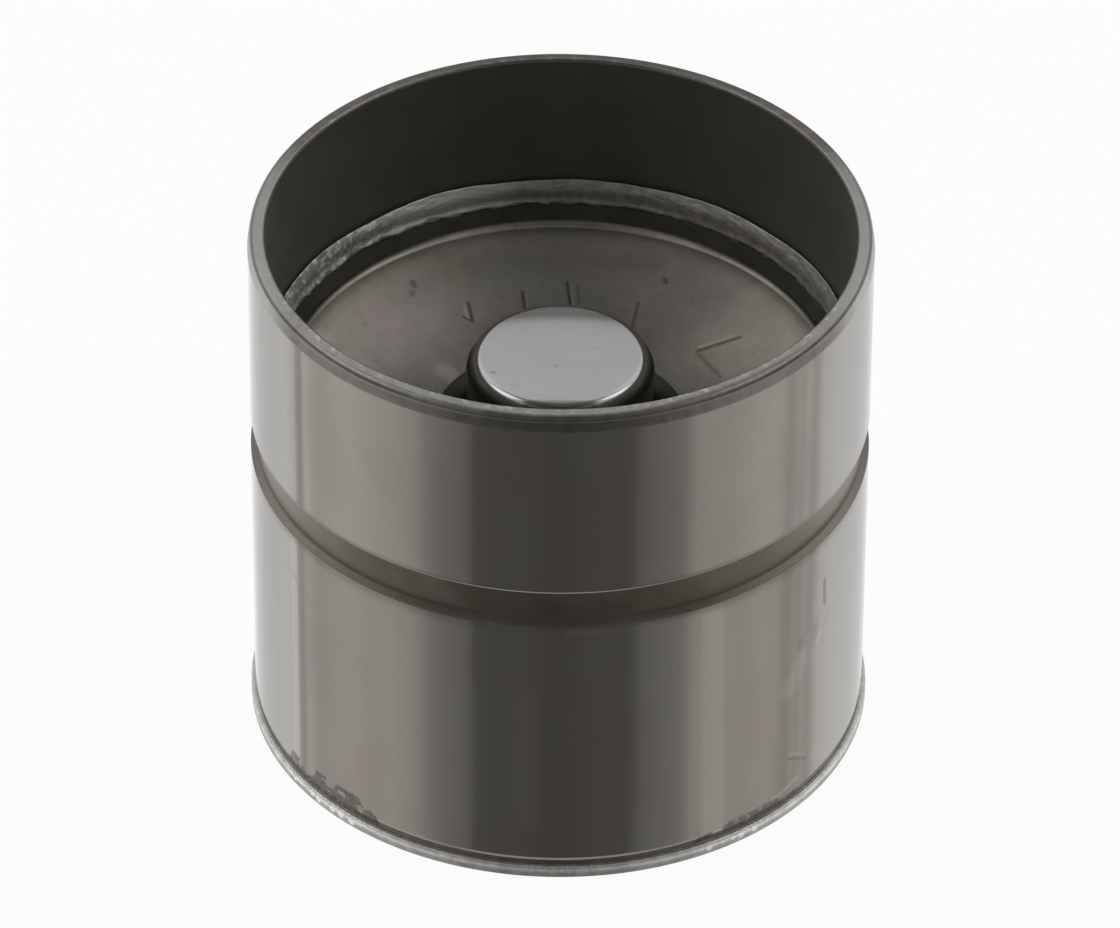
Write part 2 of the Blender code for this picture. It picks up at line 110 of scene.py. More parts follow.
# %% A node tree with short methods
class Graph:
    """A node tree. A value given to a method is a socket, which is linked, or a plain number."""

    def __init__(self, tree):
        self.tree = tree

    def add(self, kind, values=(), **settings):
        """One node with its settings. values are its inputs, in their order or by their names."""
        node = self.tree.nodes.new(kind)
        for key, value in settings.items():
            setattr(node, key, value)
        pairs = values.items() if isinstance(values, dict) else enumerate(values)
        for key, value in pairs:
            if isinstance(value, bpy.types.NodeSocket):
                self.tree.links.new(value, node.inputs[key])
            else:
                node.inputs[key].default_value = value
        return node

    def use(self, group, values):
        """A copy of a node group, with its inputs by name."""
        return self.add("ShaderNodeGroup", values, node_tree=group).outputs

    def link(self, node, **values):
        """Links results to a node's inputs. An underscore stands for a space."""
        for label, socket in values.items():
            self.tree.links.new(socket, node.inputs[label.replace("_", " ")])

    def math(self, operation, *values):
        """A sum or another function of one, two or three numbers."""
        return self.add("ShaderNodeMath", values, operation=operation).outputs[0]

    def times(self, product, *factors):
        """The product of two or more numbers."""
        for factor in factors:
            product = self.math("MULTIPLY", product, factor)
        return product

    def line(self, value, slope, start):
        """value * slope + start."""
        return self.math("MULTIPLY_ADD", value, slope, start)

    def vector(self, operation, *values):
        """The same for vectors. A length or a dot product comes out as a number."""
        node = self.add("ShaderNodeVectorMath", values, operation=operation)
        single = operation in ("LENGTH", "DOT_PRODUCT", "DISTANCE")
        return node.outputs["Value" if single else "Vector"]

    def join(self, x, y, z):
        """A vector from three numbers."""
        return self.add("ShaderNodeCombineXYZ", (x, y, z)).outputs[0]

    def split(self, vector):
        """The three numbers of a vector."""
        return self.add("ShaderNodeSeparateXYZ", (vector,)).outputs

    def bearing(self, x, y):
        """The angle round from the front, which is -Y, towards +X in radians."""
        return self.math("ARCTAN2", x, self.times(y, -1.0))

    def smooth(self, value, low, high, start=0.0, end=1.0):
        """start where value is below low, end where it is above high, and an S-curve between."""
        values = {"Value": value, "From Min": low, "From Max": high, "To Min": start, "To Max": end}
        node = self.add("ShaderNodeMapRange", values, interpolation_type="SMOOTHSTEP")
        return node.outputs["Result"]

    def band(self, value, rise, fall, level=1.0):
        """level between two S-curves: one that rises over rise and one that falls over fall."""
        return self.times(self.smooth(value, *rise, 0.0, level), self.smooth(value, *fall, 1.0, 0.0))

    def noise(self, vector, scale, detail=2.0, roughness=0.5):
        """Cloudy noise from 0 to 1, with about scale clouds in one unit of the vector."""
        values = {"Vector": vector, "Scale": scale, "Detail": detail, "Roughness": roughness}
        return self.add("ShaderNodeTexNoise", values).outputs["Fac"]

    def mix(self, share, first, second):
        """first where share is 0, second where it is 1. Both are colours."""
        first, second = ((*c, 1.0) if isinstance(c, tuple) else c for c in (first, second))
        values = {0: share, 6: first, 7: second}
        return self.add("ShaderNodeMix", values, data_type="RGBA").outputs[2]

    def ramp(self, value, stops):
        """A brightness that goes in straight lines from one (place, brightness) to the next."""
        node = self.add("ShaderNodeValToRGB", (value,))
        points = node.color_ramp.elements
        while len(points) < len(stops):
            points.new(1.0)
        for point, (place, level) in zip(points, stops):
            point.position = place
            point.color = (level, level, level, 1.0)
        return node.outputs["Color"]

    def bump(self, height, distance):
        """A normal that is bent as if the surface rose by height times distance."""
        return self.add("ShaderNodeBump", {"Height": height, "Distance": distance}).outputs["Normal"]

# %% [markdown]
# ## The light
# Polished steel shows its surroundings more than its own colour, so the studio round the lifter
# does most of the work here. It could be built from lamps and cards. A world that depends only
# on the direction is simpler, and it is clean of noise.
# Below the horizon lies what the upright walls reflect: a white table with bright panels at both
# sides and the dark of the room in front. Above it hang two large round soft lamps, left and
# right behind the lifter, in a dim room that is darkest above and in front.

# %% Light the studio by direction
# Degrees round from the front and the brightness of the table's panels there.
LEFT_PANELS = [
    (0, 0.14), (12, 0.163), (24, 0.168), (31, 0.185), (35, 0.32), (46, 0.42), (50, 0.50), (54, 0.64),
    (58, 0.72), (66, 0.81), (84, 0.96), (92, 0.94), (102, 0.84), (106, 0.94), (108, 0.97),
    (110.5, 0.84), (113, 0.80), (117, 1.10), (123, 1.16), (130, 1.04), (137, 0.97),
    (146, 0.91), (156, 0.92), (164, 1.0), (180, 1.1),
]
RIGHT_PANELS = [
    (0, 0.14), (12, 0.165), (26, 0.175), (32, 0.30), (47, 0.43), (52, 0.66), (60, 0.72),
    (66, 0.75), (72, 0.81), (80, 0.90), (86, 0.91), (91, 0.86), (94, 0.71), (97, 0.74), (99, 0.86),
    (102, 0.78), (105, 0.93), (108.5, 0.76), (110.5, 0.79), (115, 1.07), (119, 1.05), (124, 1.09),
    (134, 1.03), (146, 0.93), (156, 0.88), (164, 0.92), (180, 0.92),
]
# Degrees above the horizon and the room's brightness, and degrees round and its share there.
ROOM_UP = [
    (-90, 0.3), (0, 0.3), (12, 0.3), (22, 0.34), (26, 0.42), (31, 0.85), (35, 1.0), (46, 1.05),
    (52, 0.92), (58, 0.58), (66, 0.34), (75, 0.27), (90, 0.26),
]
ROOM_ROUND = [
    (0, 0.14), (28, 0.16), (62, 0.55), (90, 0.75), (120, 0.95), (140, 1.02), (155, 1.10),
    (167, 1.0), (175, 0.84), (180, 0.80),
]
TABLE_NEAR = 0.75
# Sines of the elevation between which the table near the foot, the room's lean and the plain
# part of the ceiling set in.
TABLE_NEAR_UP = (-0.88, -0.76)
LEAN_UP = (0.72, 0.85)
CEILING_UP = (0.93, 0.985)
CEILING = (0.8, 0.8, 0.8)
HORIZON = (-0.16, 0.0)
# Bearing from the front, elevation, half width and softness of the edge in degrees, brightness.
LAMPS = [(-103, 52, 13, 7, 1.9), (103, 52, 13, 7, 1.9)]


def along(stops, low, high):
    """Stops given from low to high, as the places from 0 to 1 of a colour ramp."""
    return [((place - low) / (high - low), level) for place, level in stops]


def towards(bearing, elevation):
    """The direction at this bearing from the front and this elevation, in degrees."""
    b, e = math.radians(bearing), math.radians(elevation)
    return (math.sin(b) * math.cos(e), -math.cos(b) * math.cos(e), math.sin(e))


world = bpy.data.worlds.new("studio")
bpy.context.scene.world = world
world.use_nodes = True
studio = Graph(world.node_tree)
sight = studio.add("ShaderNodeTexCoord").outputs["Generated"]
east, north, up = studio.split(sight)
bearing = studio.bearing(east, north)
round_share = studio.math("DIVIDE", studio.math("ABSOLUTE", bearing), math.pi)
up_share = studio.line(studio.math("ARCSINE", up), 1 / math.pi, 0.5)
left, right, around = (
    studio.ramp(round_share, along(stops, 0, 180)) for stops in (LEFT_PANELS, RIGHT_PANELS, ROOM_ROUND)
)
panels = studio.mix(studio.math("GREATER_THAN", bearing, 0.0), left, right)
table_light = studio.math("MAXIMUM", panels, studio.smooth(up, *TABLE_NEAR_UP, TABLE_NEAR, 0.0))
around = studio.mix(studio.smooth(up, *CEILING_UP), around, CEILING)
room = studio.times(studio.ramp(up_share, along(ROOM_UP, -90, 90)), around)
# Low down the room is a little brighter on the left, and high up it is brighter on the right.
lean = studio.smooth(up, *LEAN_UP, -0.08, 0.50)
room = studio.times(room, studio.line(east, lean, 0.93))
for lamp_bearing, lamp_elevation, half_width, softness, level in LAMPS:
    facing = studio.vector("DOT_PRODUCT", sight, towards(lamp_bearing, lamp_elevation))
    outer = math.cos(math.radians(half_width + softness))
    inner = math.cos(math.radians(half_width - softness))
    room = studio.math("MAXIMUM", room, studio.smooth(facing, outer, inner, 0.0, level))
shares = {0: studio.smooth(up, *HORIZON), 2: table_light, 3: room}
level = studio.add("ShaderNodeMix", shares).outputs[0]
studio.link(studio.tree.nodes["Background"], Color=level)
print("the table has", len(LEFT_PANELS) + len(RIGHT_PANELS), "edges of panels")
print("the room has", len(LAMPS), "lamps")

# %% [markdown]
# ## The floor
# A large sheet of white paper. Its own colour and the studio's light make it nearly white. For
# the camera a share of it glows at strength 1, which keeps the background white and leaves a
# soft shadow. Shiny walls look past it into the studio, where the table's white is painted.

# %% Lay the floor
FLOOR_HALF = 3.0
FLOOR_WHITE = (0.93, 0.93, 0.93)
FLOOR_GLOW = 0.955

paper = bpy.data.materials.new("white_paper")
paper.use_nodes = True
sheet = Graph(paper.node_tree)
sheet.tree.nodes.remove(sheet.tree.nodes["Principled BSDF"])
matt = sheet.add("ShaderNodeBsdfDiffuse", {"Color": (*FLOOR_WHITE, 1.0)})
glow = sheet.add("ShaderNodeEmission", {"Color": (1.0, 1.0, 1.0, 1.0), "Strength": 1.0})
ray = sheet.add("ShaderNodeLightPath").outputs
seen = sheet.math("MAXIMUM", ray["Is Camera Ray"], ray["Is Glossy Ray"])
seen = sheet.math("MAXIMUM", seen, ray["Is Transmission Ray"])
share = sheet.times(seen, FLOOR_GLOW)
surface = sheet.add("ShaderNodeMixShader", (share, matt.outputs[0], glow.outputs[0]))
sheet.link(sheet.tree.nodes["Material Output"], Surface=surface.outputs[0])

corners = np.array([(-1, -1), (1, -1), (1, 1), (-1, 1)]) * FLOOR_HALF
floor_mesh = bpy.data.meshes.new("floor")
floor_mesh.from_pydata([(x, y, -0.005 * MM) for x, y in corners], [], [(0, 1, 2, 3)])
floor_mesh.materials.append(paper)
floor = bpy.data.objects.new("floor", floor_mesh)
bpy.context.scene.collection.objects.link(floor)
floor.visible_glossy = False
floor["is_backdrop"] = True
print("the floor is", 2 * FLOOR_HALF, "m wide")

# %% [markdown]
# ## Turning a piece
# Nearly every piece of a lifter is turned or pressed round, so its surface is an outline in the
# (radius, height) half-plane that is carried round the axis. Blender's Screw modifier could do
# that. Here it is a grid worked out with numpy: rows follow the outline and columns the bearing,
# so that a weld bead or a burr can shift the points by a formula before they become a mesh.

# %% The outline of a turned piece
ARC_STEP = 0.2  # radians between the points of a rounded corner
ARC_POINTS = 5  # and the fewest that it gets
SIDE_SHARE = 0.45  # how much of a side a rounding may take up
STRAIGHT = 1.55  # half of an angle, in radians, that needs no rounding
HOLD = 0.02 * MM  # distance from a side's end to the point that keeps its shading flat


def outline(corners, step, fine=None):
    """Points along a closed outline with corners (radius, height, rounding, finish).

    A rounded corner is the arc of a circle that touches both of its sides: centre + rounding *
    (cos t, sin t). A side is divided into equal steps, with one more point near each of its ends
    that keeps the shading of the side flat. finish belongs to the corner and the side after it.
    fine gives a smaller step for some finishes. Radius and height are in metres, and rounding,
    step and fine are in mm.
    """
    places = np.array([corner[:2] for corner in corners], float)
    arcs = []
    for index, (_, _, rounding, _) in enumerate(corners):
        here = places[index]
        before = places[index - 1] - here
        after = places[(index + 1) % len(corners)] - here
        before_length, after_length = np.linalg.norm(before), np.linalg.norm(after)
        before, after = before / before_length, after / after_length
        half = 0.5 * math.acos(np.clip(before @ after, -1.0, 1.0))
        reach = min(rounding * MM / math.tan(half), SIDE_SHARE * min(before_length, after_length))
        if rounding == 0 or half > STRAIGHT:
            arcs.append(here[None, :])
            continue
        middle = (before + after) / np.linalg.norm(before + after)
        centre = here + middle * reach / math.cos(half)
        first, last = here + before * reach - centre, here + after * reach - centre
        start = math.atan2(first[1], first[0])
        sweep = math.remainder(math.atan2(last[1], last[0]) - start, 2 * math.pi)
        turn = start + sweep * np.linspace(0, 1, max(ARC_POINTS, math.ceil(abs(sweep) / ARC_STEP)))
        arcs.append(centre + np.linalg.norm(first) * np.stack([np.cos(turn), np.sin(turn)], 1))
    points, finishes = [], []
    for index, arc in enumerate(arcs):
        start, end = arc[-1], arcs[(index + 1) % len(arcs)][0]
        length = np.linalg.norm(end - start)
        hold = min(HOLD, 0.2 * length)
        count = max(2, math.ceil(length / ((fine or {}).get(corners[index][3], step) * MM)))
        share = np.linspace(hold, length - hold, count) / max(length, 1e-9)
        side = start + share[:, None] * (end - start)
        points += [arc, side]
        finishes += [np.full(len(arc) + len(side), corners[index][3])]
    return np.concatenate(points), np.concatenate(finishes)


# %% Make a mesh of a grid of points
def object_from_grid(name, grid, finishes, materials, closed=True, poles=(None, None)):
    """A mesh piece from grid[row, column] = (x, y, z), whose columns close round the axis.

    Each cell of four neighbours is a face. closed joins the last row to the first. A pole is a
    point on the axis that closes the first or the last row with a fan.
    """
    rows, columns = grid.shape[:2]
    number = np.arange(rows * columns).reshape(rows, columns)
    lower = number if closed else number[:-1]
    upper = np.roll(number, -1, 0) if closed else number[1:]
    quads = np.stack([lower, np.roll(lower, -1, 1), np.roll(upper, -1, 1), upper], -1)
    quad_finish = np.repeat(finishes[: len(lower)], columns)
    faces = quads.reshape(-1, 4).tolist()
    points = [grid.reshape(-1, 3)]
    face_finish = [quad_finish]
    for pole, ring, turned_over in ((poles[0], number[0], True), (poles[1], number[-1], False)):
        if pole is None:
            continue
        tip = sum(len(p) for p in points)
        points.append(np.array([pole], float))
        following = np.roll(ring, -1)
        fan = np.stack([np.full(columns, tip), ring, following], -1)
        faces += (fan[:, ::-1] if turned_over else fan).tolist()
        face_finish.append(np.full(columns, finishes[0 if turned_over else -1]))
    mesh = bpy.data.meshes.new(name)
    mesh.from_pydata(np.concatenate(points), [], faces)
    for material in materials:
        mesh.materials.append(material)
    mesh.polygons.foreach_set("material_index", np.concatenate(face_finish).astype(np.int32))
    mesh.polygons.foreach_set("use_smooth", np.ones(len(mesh.polygons), bool))
    mesh.update()
    mesh.validate()
    piece = bpy.data.objects.new(name, mesh)
    bpy.context.scene.collection.objects.link(piece)
    return piece


def capped(name, grid, ends, material):
    """A piece of one finish, whose first and last rows are closed by fans to the two ends."""
    return object_from_grid(name, grid, np.zeros(len(grid), int), [material], False, ends)


# %% Turn an outline into a piece
def turned(name, corners, sides, materials, step=1.0, fine=None, shape=None):
    """The outline carried round the axis: (r cos b, r sin b, z) for equal bearings b.

    The corners run so that the metal is on their left. shape(r, z, b) may shift the points.
    """
    points, finishes = outline(corners, step, fine)
    ends_on_axis = corners[0][0] == 0
    if ends_on_axis:
        keep = points[:, 0] > 1e-6
        points, finishes = points[keep], finishes[keep]
    bearing = np.arange(sides) * 2 * math.pi / sides
    radius = np.repeat(points[:, :1], sides, 1)
    height = np.repeat(points[:, 1:], sides, 1)
    bearing = np.repeat(bearing[None, :], len(points), 0)
    if shape:
        radius, height = shape(radius, height, bearing)
    grid = np.stack([radius * np.cos(bearing), radius * np.sin(bearing), height], -1)
    poles = (None, None)
    if ends_on_axis:
        poles = ((0, 0, points[0, 1]), (0, 0, points[-1, 1]))
    return object_from_grid(name, grid, finishes, materials, not ends_on_axis, poles)


# %% Cut a hole and sweep a wire
def cut_away(piece, cutter):
    """The piece without the room that the cutter takes up. The cutter is then thrown away."""
    modifier = piece.modifiers.new("cut", "BOOLEAN")
    modifier.operation = "DIFFERENCE"
    modifier.object = cutter
    whole = piece.data
    evaluated = piece.evaluated_get(bpy.context.evaluated_depsgraph_get())
    piece.data = bpy.data.meshes.new_from_object(evaluated)
    piece.modifiers.clear()
    bpy.data.meshes.remove(whole)
    bpy.data.objects.remove(cutter)


def circle(radius, count):
    """Points (x, y) at equal angles on a circle."""
    angle = np.arange(count) * 2 * math.pi / count
    return np.stack([radius * np.cos(angle), radius * np.sin(angle)], -1)


def swept(name, path, thickness, sides, material):
    """Round wire along a path of points: path + thickness / 2 * (out cos a + across sin a).

    out points away from the axis and across is at right angles to it and to the wire.
    """
    along_wire = np.gradient(path, axis=0)
    along_wire /= np.linalg.norm(along_wire, axis=1)[:, None]
    out = path * (1.0, 1.0, 0.0)
    out -= (out * along_wire).sum(1)[:, None] * along_wire
    out /= np.linalg.norm(out, axis=1)[:, None]
    across = np.cross(along_wire, out)
    angle = np.arange(sides)[None, :, None] * 2 * math.pi / sides
    ring = out[:, None] * np.cos(angle) + across[:, None] * np.sin(angle)
    grid = path[:, None] + 0.5 * thickness * ring
    return capped(name, grid, (path[0], path[-1]), material)


def ripple(bearing, along, waves, seed, count=30):
    """Unevenness from about -1 to 1 that closes on itself round the axis.

    It is the sum of many sines of k * bearing + m * along + phase, with whole numbers k up to
    waves, divided by the root of their number.
    """
    random = np.random.default_rng(seed)
    total = np.zeros(np.broadcast(bearing, along).shape)
    for k in random.integers(waves // 6 + 1, waves + 1, count):
        m, phase = random.uniform(-1, 1) * k, random.uniform(0, 2 * math.pi)
        total += np.sin(k * bearing + m * along + phase)
    return total / math.sqrt(count / 2) / 1.6


def hill(x, middle, width):
    """exp(-((x - middle) / width) squared)."""
    return np.exp(-(((x - middle) / width) ** 2))


def unit(x):
    """x kept between 0 and 1."""
    return np.clip(x, 0, 1)


# %% [markdown]
# ## Effects that several finishes share
# Each one is a shader node group with named inputs and outputs. Steel that was turned or ground
# has fine rings round the axis. Handling and oil leave soft clouds. Tools leave short marks, and
# the same short lines also paint highlights and shade.

# %% Build the shared effects
def new_group(name, takes, gives):
    """An empty node group: its graph, the sockets it takes by name, and its output node."""
    tree = bpy.data.node_groups.new(name, "ShaderNodeTree")
    for label, kind, value in takes:
        socket = tree.interface.new_socket(label, in_out="INPUT", socket_type="NodeSocket" + kind)
        socket.default_value = value
    for label, kind in gives:
        tree.interface.new_socket(label, in_out="OUTPUT", socket_type="NodeSocket" + kind)
    graph = Graph(tree)
    return graph, graph.add("NodeGroupInput").outputs, graph.add("NodeGroupOutput")


PLACE = ("Place", "Vector", (0.0, 0.0, 0.0))
IN_MM = 1 / MM
WALL_MM = 17.5  # radius on which arcs are measured

# Where a point is, all in mm. Aside is the arc from the front without its sign.
labels = ("Arc", "Aside", "Height", "Radius", "X", "Y")
vectors = ("Unrolled", "Flat", "Solid")
gives = [(label, "Float") for label in labels] + [(label, "Vector") for label in vectors]
g, takes, out = new_group("cylinder_place", [PLACE], gives)
x, y, height = (g.times(socket, IN_MM) for socket in g.split(takes["Place"]))
flat = g.join(x, y, 0.0)
arc = g.times(g.bearing(x, y), WALL_MM)
g.link(out, Arc=arc, Aside=g.math("ABSOLUTE", arc), Height=height, Radius=g.vector("LENGTH", flat))
g.link(out, X=x, Y=y, Unrolled=g.join(arc, height, 0.0), Flat=flat, Solid=g.join(x, y, height))
cylinder_place = g.tree

g, takes, out = new_group(
    "tool_rings",
    [PLACE, ("Across", "Float", 0.0), ("Spacing", "Float", 0.1), ("Sweep", "Float", 2.0)],
    [("Rings", "Float")],
)
x, y, _ = g.split(takes["Place"])
drift = g.math("DIVIDE", IN_MM, takes["Sweep"])
across = g.math("DIVIDE", takes["Across"], takes["Spacing"])
g.link(out, Rings=g.noise(g.join(g.times(x, drift), g.times(y, drift), across), 1.0, 3.0, 0.65))
tool_rings = g.tree

takes = [PLACE, ("Size", "Float", 5.0), ("Stretch", "Float", 1.0)]
g, takes, out = new_group("oil_clouds", takes, [("Cloud", "Float")])
scale = g.math("DIVIDE", IN_MM, takes["Size"])
x, y, z = (g.times(socket, scale) for socket in g.split(takes["Place"]))
g.link(out, Cloud=g.noise(g.join(x, y, g.math("DIVIDE", z, takes["Stretch"])), 1.0, 4.0, 0.55))
oil_clouds = g.tree

ends = [("Start", "Vector", (0, 0, 0)), ("End", "Vector", (1, 0, 0))]
takes = [PLACE, *ends, ("Width", "Float", 0.1), ("Softness", "Float", 0.1)]
g, takes, out = new_group("line_mark", takes, [("Mark", "Float")])
line = g.vector("SUBTRACT", takes["End"], takes["Start"])
offset = g.vector("SUBTRACT", takes["Place"], takes["Start"])
share = g.math("DIVIDE", g.vector("DOT_PRODUCT", offset, line), g.vector("DOT_PRODUCT", line, line))
share = g.add("ShaderNodeClamp", (share,)).outputs[0]
nearest = g.add("ShaderNodeVectorMath", {0: line, "Scale": share}, operation="SCALE").outputs[0]
half_width = g.times(takes["Width"], 0.5)
outer = g.math("ADD", half_width, takes["Softness"])
g.link(out, Mark=g.smooth(g.vector("DISTANCE", offset, nearest), half_width, outer, 1.0, 0.0))
line_mark = g.tree


def strokes(graph, place, lines):
    """The strongest of several line marks: (x, y) of both ends, width, softness, strength."""
    total = 0.0
    for start, end, width, softness, strength in lines:
        values = {"Place": place, "Start": (*start, 0.0), "End": (*end, 0.0)}
        mark = graph.use(line_mark, values | {"Width": width, "Softness": softness})["Mark"]
        total = graph.math("MAXIMUM", total, graph.times(mark, strength))
    return total


print("shared effects:", ", ".join(sorted(tree.name for tree in bpy.data.node_groups)))

# %% [markdown]
# ## Steel finishes
# All of them are bare steel: fully metallic, with a tint that is a little warm. They differ in
# how dark the surface is, how sharply it mirrors and which marks it carries.

# %% Start a steel finish
class Steel(Graph):
    """A finish of bare metal: its material, its shader, the object's coordinates, places in mm."""

    def __init__(self, name, metallic=1.0):
        self.material = bpy.data.materials.new(name)
        self.material.use_nodes = True
        super().__init__(self.material.node_tree)
        self.shader = self.tree.nodes["Principled BSDF"]
        self.shader.inputs["Metallic"].default_value = metallic
        self.place = self.add("ShaderNodeTexCoord").outputs["Object"]
        self.where = self.use(cylinder_place, {"Place": self.place})

    def at(self, *labels):
        """Places in mm by the names of the group's outputs."""
        return [self.where[label] for label in labels]

    def rings(self, across, spacing, sweep=2.0):
        """Tool rings that follow each other across the radius or the height."""
        values = {"Place": self.place, "Across": self.where[across], "Spacing": spacing, "Sweep": sweep}
        return self.use(tool_rings, values)["Rings"]

    def clouds(self, size, stretch=1.0):
        """Soft clouds from 0 to 1, size in mm."""
        return self.use(oil_clouds, {"Place": self.place, "Size": size, "Stretch": stretch})["Cloud"]

    def drift(self, cloud, dark, light, low=0.35, high=0.65):
        """A tint that goes from dark to light where the cloud goes from low to high."""
        return self.mix(self.smooth(cloud, low, high), dark, light)

    def finish(self, tint, gloss, relief, depth, **more):
        """Links colour, roughness and relief of a depth in mm to the shader."""
        normal = self.bump(relief, depth * MM)
        self.link(self.shader, Base_Color=tint, Roughness=gloss, Normal=normal, **more)
        return self.material


def simple_steel(
    name, dark, light, roughness, bump=0.0006, cloud_size=3.0, across="Radius", metallic=1.0, spots=None
):
    """Steel whose tint drifts from dark to light, with tool rings in its gloss and its surface.

    spots(graph, tint) may change the tint in places.
    """
    g = Steel(name, metallic)
    ring, cloud = g.rings(across, 0.06), g.clouds(cloud_size)
    tint = g.drift(cloud, dark, light)
    if spots:
        tint = spots(g, tint)
    gloss = g.line(g.math("ADD", cloud, ring), 0.2 * roughness, 0.8 * roughness)
    return g.finish(tint, gloss, ring, bump)


# %% Finish of the ground wall
# Lines on the unrolled wall in mm: arc from the front and height of both ends, width, softness,
# strength. Ticks are dark and sharp, shades are painted soft shade, glints are painted highlights,
# smears are bright and scuffs raised.
WALL_TICKS = [
    ((17.80, 14.7), (17.86, 13.1), 0.16, 0.12, 0.6),
    ((14.8, 3.75), (16.2, 2.95), 0.12, 0.15, 0.3),
    ((15.6, 11.6), (15.9, 11.3), 0.35, 0.3, 0.25),
]
WALL_SHADES = [
    ((16.9, 11.5), (16.6, 10.9), 0.5, 0.5, 0.30),
    ((18.4, 12.1), (17.2, 11.3), 0.15, 0.4, 0.25),
    ((-17.0, 31.0), (-17.0, 0.9), 0.35, 0.3, 0.40),
    ((-17.9, 15.0), (-16.0, 14.0), 0.2, 0.5, 0.2),
]
WALL_GLINTS = [
    ((-17.7, 18.2), (-17.7, 0.9), 0.4, 0.3, 0.7),
    ((-16.45, 31.0), (-16.3, 20.2), 0.20, 0.3, 0.5),
    ((8.95, 17.3), (9.15, 0.9), 0.9, 0.5, 0.65),
    ((-1.80, 12.5), (-1.78, 3.9), 0.5, 0.8, 0.35),
    ((0.4, 17.36), (9.6, 17.30), 0.06, 0.22, 0.45),
    ((14.9, 4.0), (16.2, 3.2), 0.1, 0.2, 0.35),
    ((13.3, 1.45), (15.5, 1.95), 0.06, 0.2, 0.7),
]
WALL_SMEARS = [
    ((18.6, 12.6), (16.9, 11.0), 0.15, 0.6, 0.18),
    ((16.5, 11.2), (14.6, 9.0), 0.5, 0.9, 0.30),
    ((17.45, 11.35), (17.15, 10.75), 0.08, 0.12, 0.8),
    ((16.75, 10.45), (16.6, 10.3), 0.08, 0.12, 0.7),
    ((17.7, 11.9), (17.5, 11.6), 0.06, 0.12, 0.5),
]
WALL_SCUFFS = [
    ((19.4, 12.4), (15.3, 9.9), 0.5, 1.3, 1.0),
    ((17.2, 11.5), (14.6, 9.0), 0.1, 0.5, 0.5),
    ((14.5, 3.6), (16.8, 3.0), 0.3, 0.6, 0.5),
]
FOOT_EDGE = 0.82

g = Steel("ground_steel")
wall, arc, aside, height = g.at("Unrolled", "Arc", "Aside", "Height")
rings = g.rings("Height", 0.07, 9.0)
film = g.clouds(5.0, 1.6)
tint = g.drift(film, (0.304, 0.288, 0.256), (0.300, 0.268, 0.243), 0.4, 0.6)
# Painted shade darkens the lower wall a little at both sides of the front.
painted_wall_shade = g.times(g.band(aside, (9.8, 11.5), (15.8, 17.0)), g.smooth(height, 17.6, 17.9, 0.20, 0.0))
tint = g.mix(painted_wall_shade, tint, (0.15, 0.128, 0.10))
tint = g.mix(g.smooth(aside, 17.0, 18.6, 0.0, 0.8), tint, (0.297, 0.289, 0.275))
for marks, colour in (
    (WALL_GLINTS, (0.385, 0.352, 0.318)),
    (WALL_TICKS, (0.09, 0.085, 0.07)),
    (WALL_SHADES, (0.15, 0.138, 0.12)),
    (WALL_SMEARS, (0.40, 0.375, 0.345)),
):
    tint = g.mix(strokes(g, wall, marks), tint, colour)
# Painted shade lies in soft dark bands along both edges of the groove, strongest at the sides.
below = g.band(height, (16.9, 17.75), (18.6, 18.8), 0.75)
over = g.band(height, (18.8, 19.0), (20.1, 20.5), 0.9)
painted_wall_shade = g.times(g.math("ADD", below, over), g.smooth(aside, 2.0, 8.0, 0.10, 0.95))
tint = g.mix(painted_wall_shade, tint, (0.16, 0.142, 0.115))
# Brazing scorched the wall in ragged patches above the seam, most at the left and the right.
left_zone = g.band(arc, (-19.2, -17.8), (-11.6, -10.4))
right_zone = g.times(g.smooth(arc, 7.0, 9.5), g.smooth(arc, 13.0, 16.5, 0.55, 0.12))
zone = g.math("ADD", left_zone, right_zone)
reach = g.times(zone, g.smooth(g.noise(wall, 0.8, 4.0, 0.6), 0.38, 0.56, 0.30, 1.40))
above = g.math("SUBTRACT", height, g.math("ADD", reach, FOOT_EDGE))
grit = g.noise(wall, 2.8, 3.0, 0.6)
scorch = g.times(g.smooth(above, -0.16, 0.10, 1.0, 0.0), g.smooth(zone, 0.05, 0.3))
scorch = g.times(scorch, g.smooth(grit, 0.35, 0.65, 0.85, 0.6))
# Painted shade darkens the wall just above the seam.
tint = g.mix(g.smooth(height, 0.90, 1.10, 0.25, 0.0), tint, (0.12, 0.112, 0.095))
tint = g.mix(scorch, tint, (0.085, 0.080, 0.067))
gloss = g.line(scorch, 0.15, g.line(g.smooth(film, 0.5, 0.62), 0.03, 0.075))
relief = g.line(strokes(g, wall, WALL_SCUFFS), 14.0, rings)
relief = g.line(g.times(scorch, grit), 20.0, relief)
ground_steel = g.finish(tint, gloss, relief, 0.0004)
wall_marks = WALL_TICKS + WALL_SHADES + WALL_GLINTS + WALL_SMEARS + WALL_SCUFFS
print("the ground wall has", len(wall_marks), "marks")

# %% Other finishes of the skirt
bore_steel = simple_steel("bore_steel", (0.29, 0.285, 0.262), (0.32, 0.305, 0.272), 0.6, across="Height")
seam_steel = simple_steel("seam_steel", (0.27, 0.253, 0.215), (0.39, 0.368, 0.325), 0.55, across="Height")

g = Steel("groove_steel", 0.90)
aside, height = g.at("Aside", "Height")
cloud = g.clouds(3.0)
tint = g.drift(cloud, (0.128, 0.112, 0.085), (0.165, 0.146, 0.120))
# It is painted lighter at the sides than in front, and lighter low down at the front, as painted light.
tint = g.mix(g.smooth(aside, 10.0, 22.0), tint, (0.30, 0.272, 0.235))
painted_groove_light = g.times(g.smooth(height, 17.75, 18.7, 1.0, 0.0), g.smooth(aside, 3.0, 7.5, 0.9, 0.15))
tint = g.mix(painted_groove_light, tint, (0.27, 0.25, 0.21))
groove_steel = g.finish(tint, g.line(cloud, 0.1, 0.40), g.rings("Height", 0.06), 0.0006)

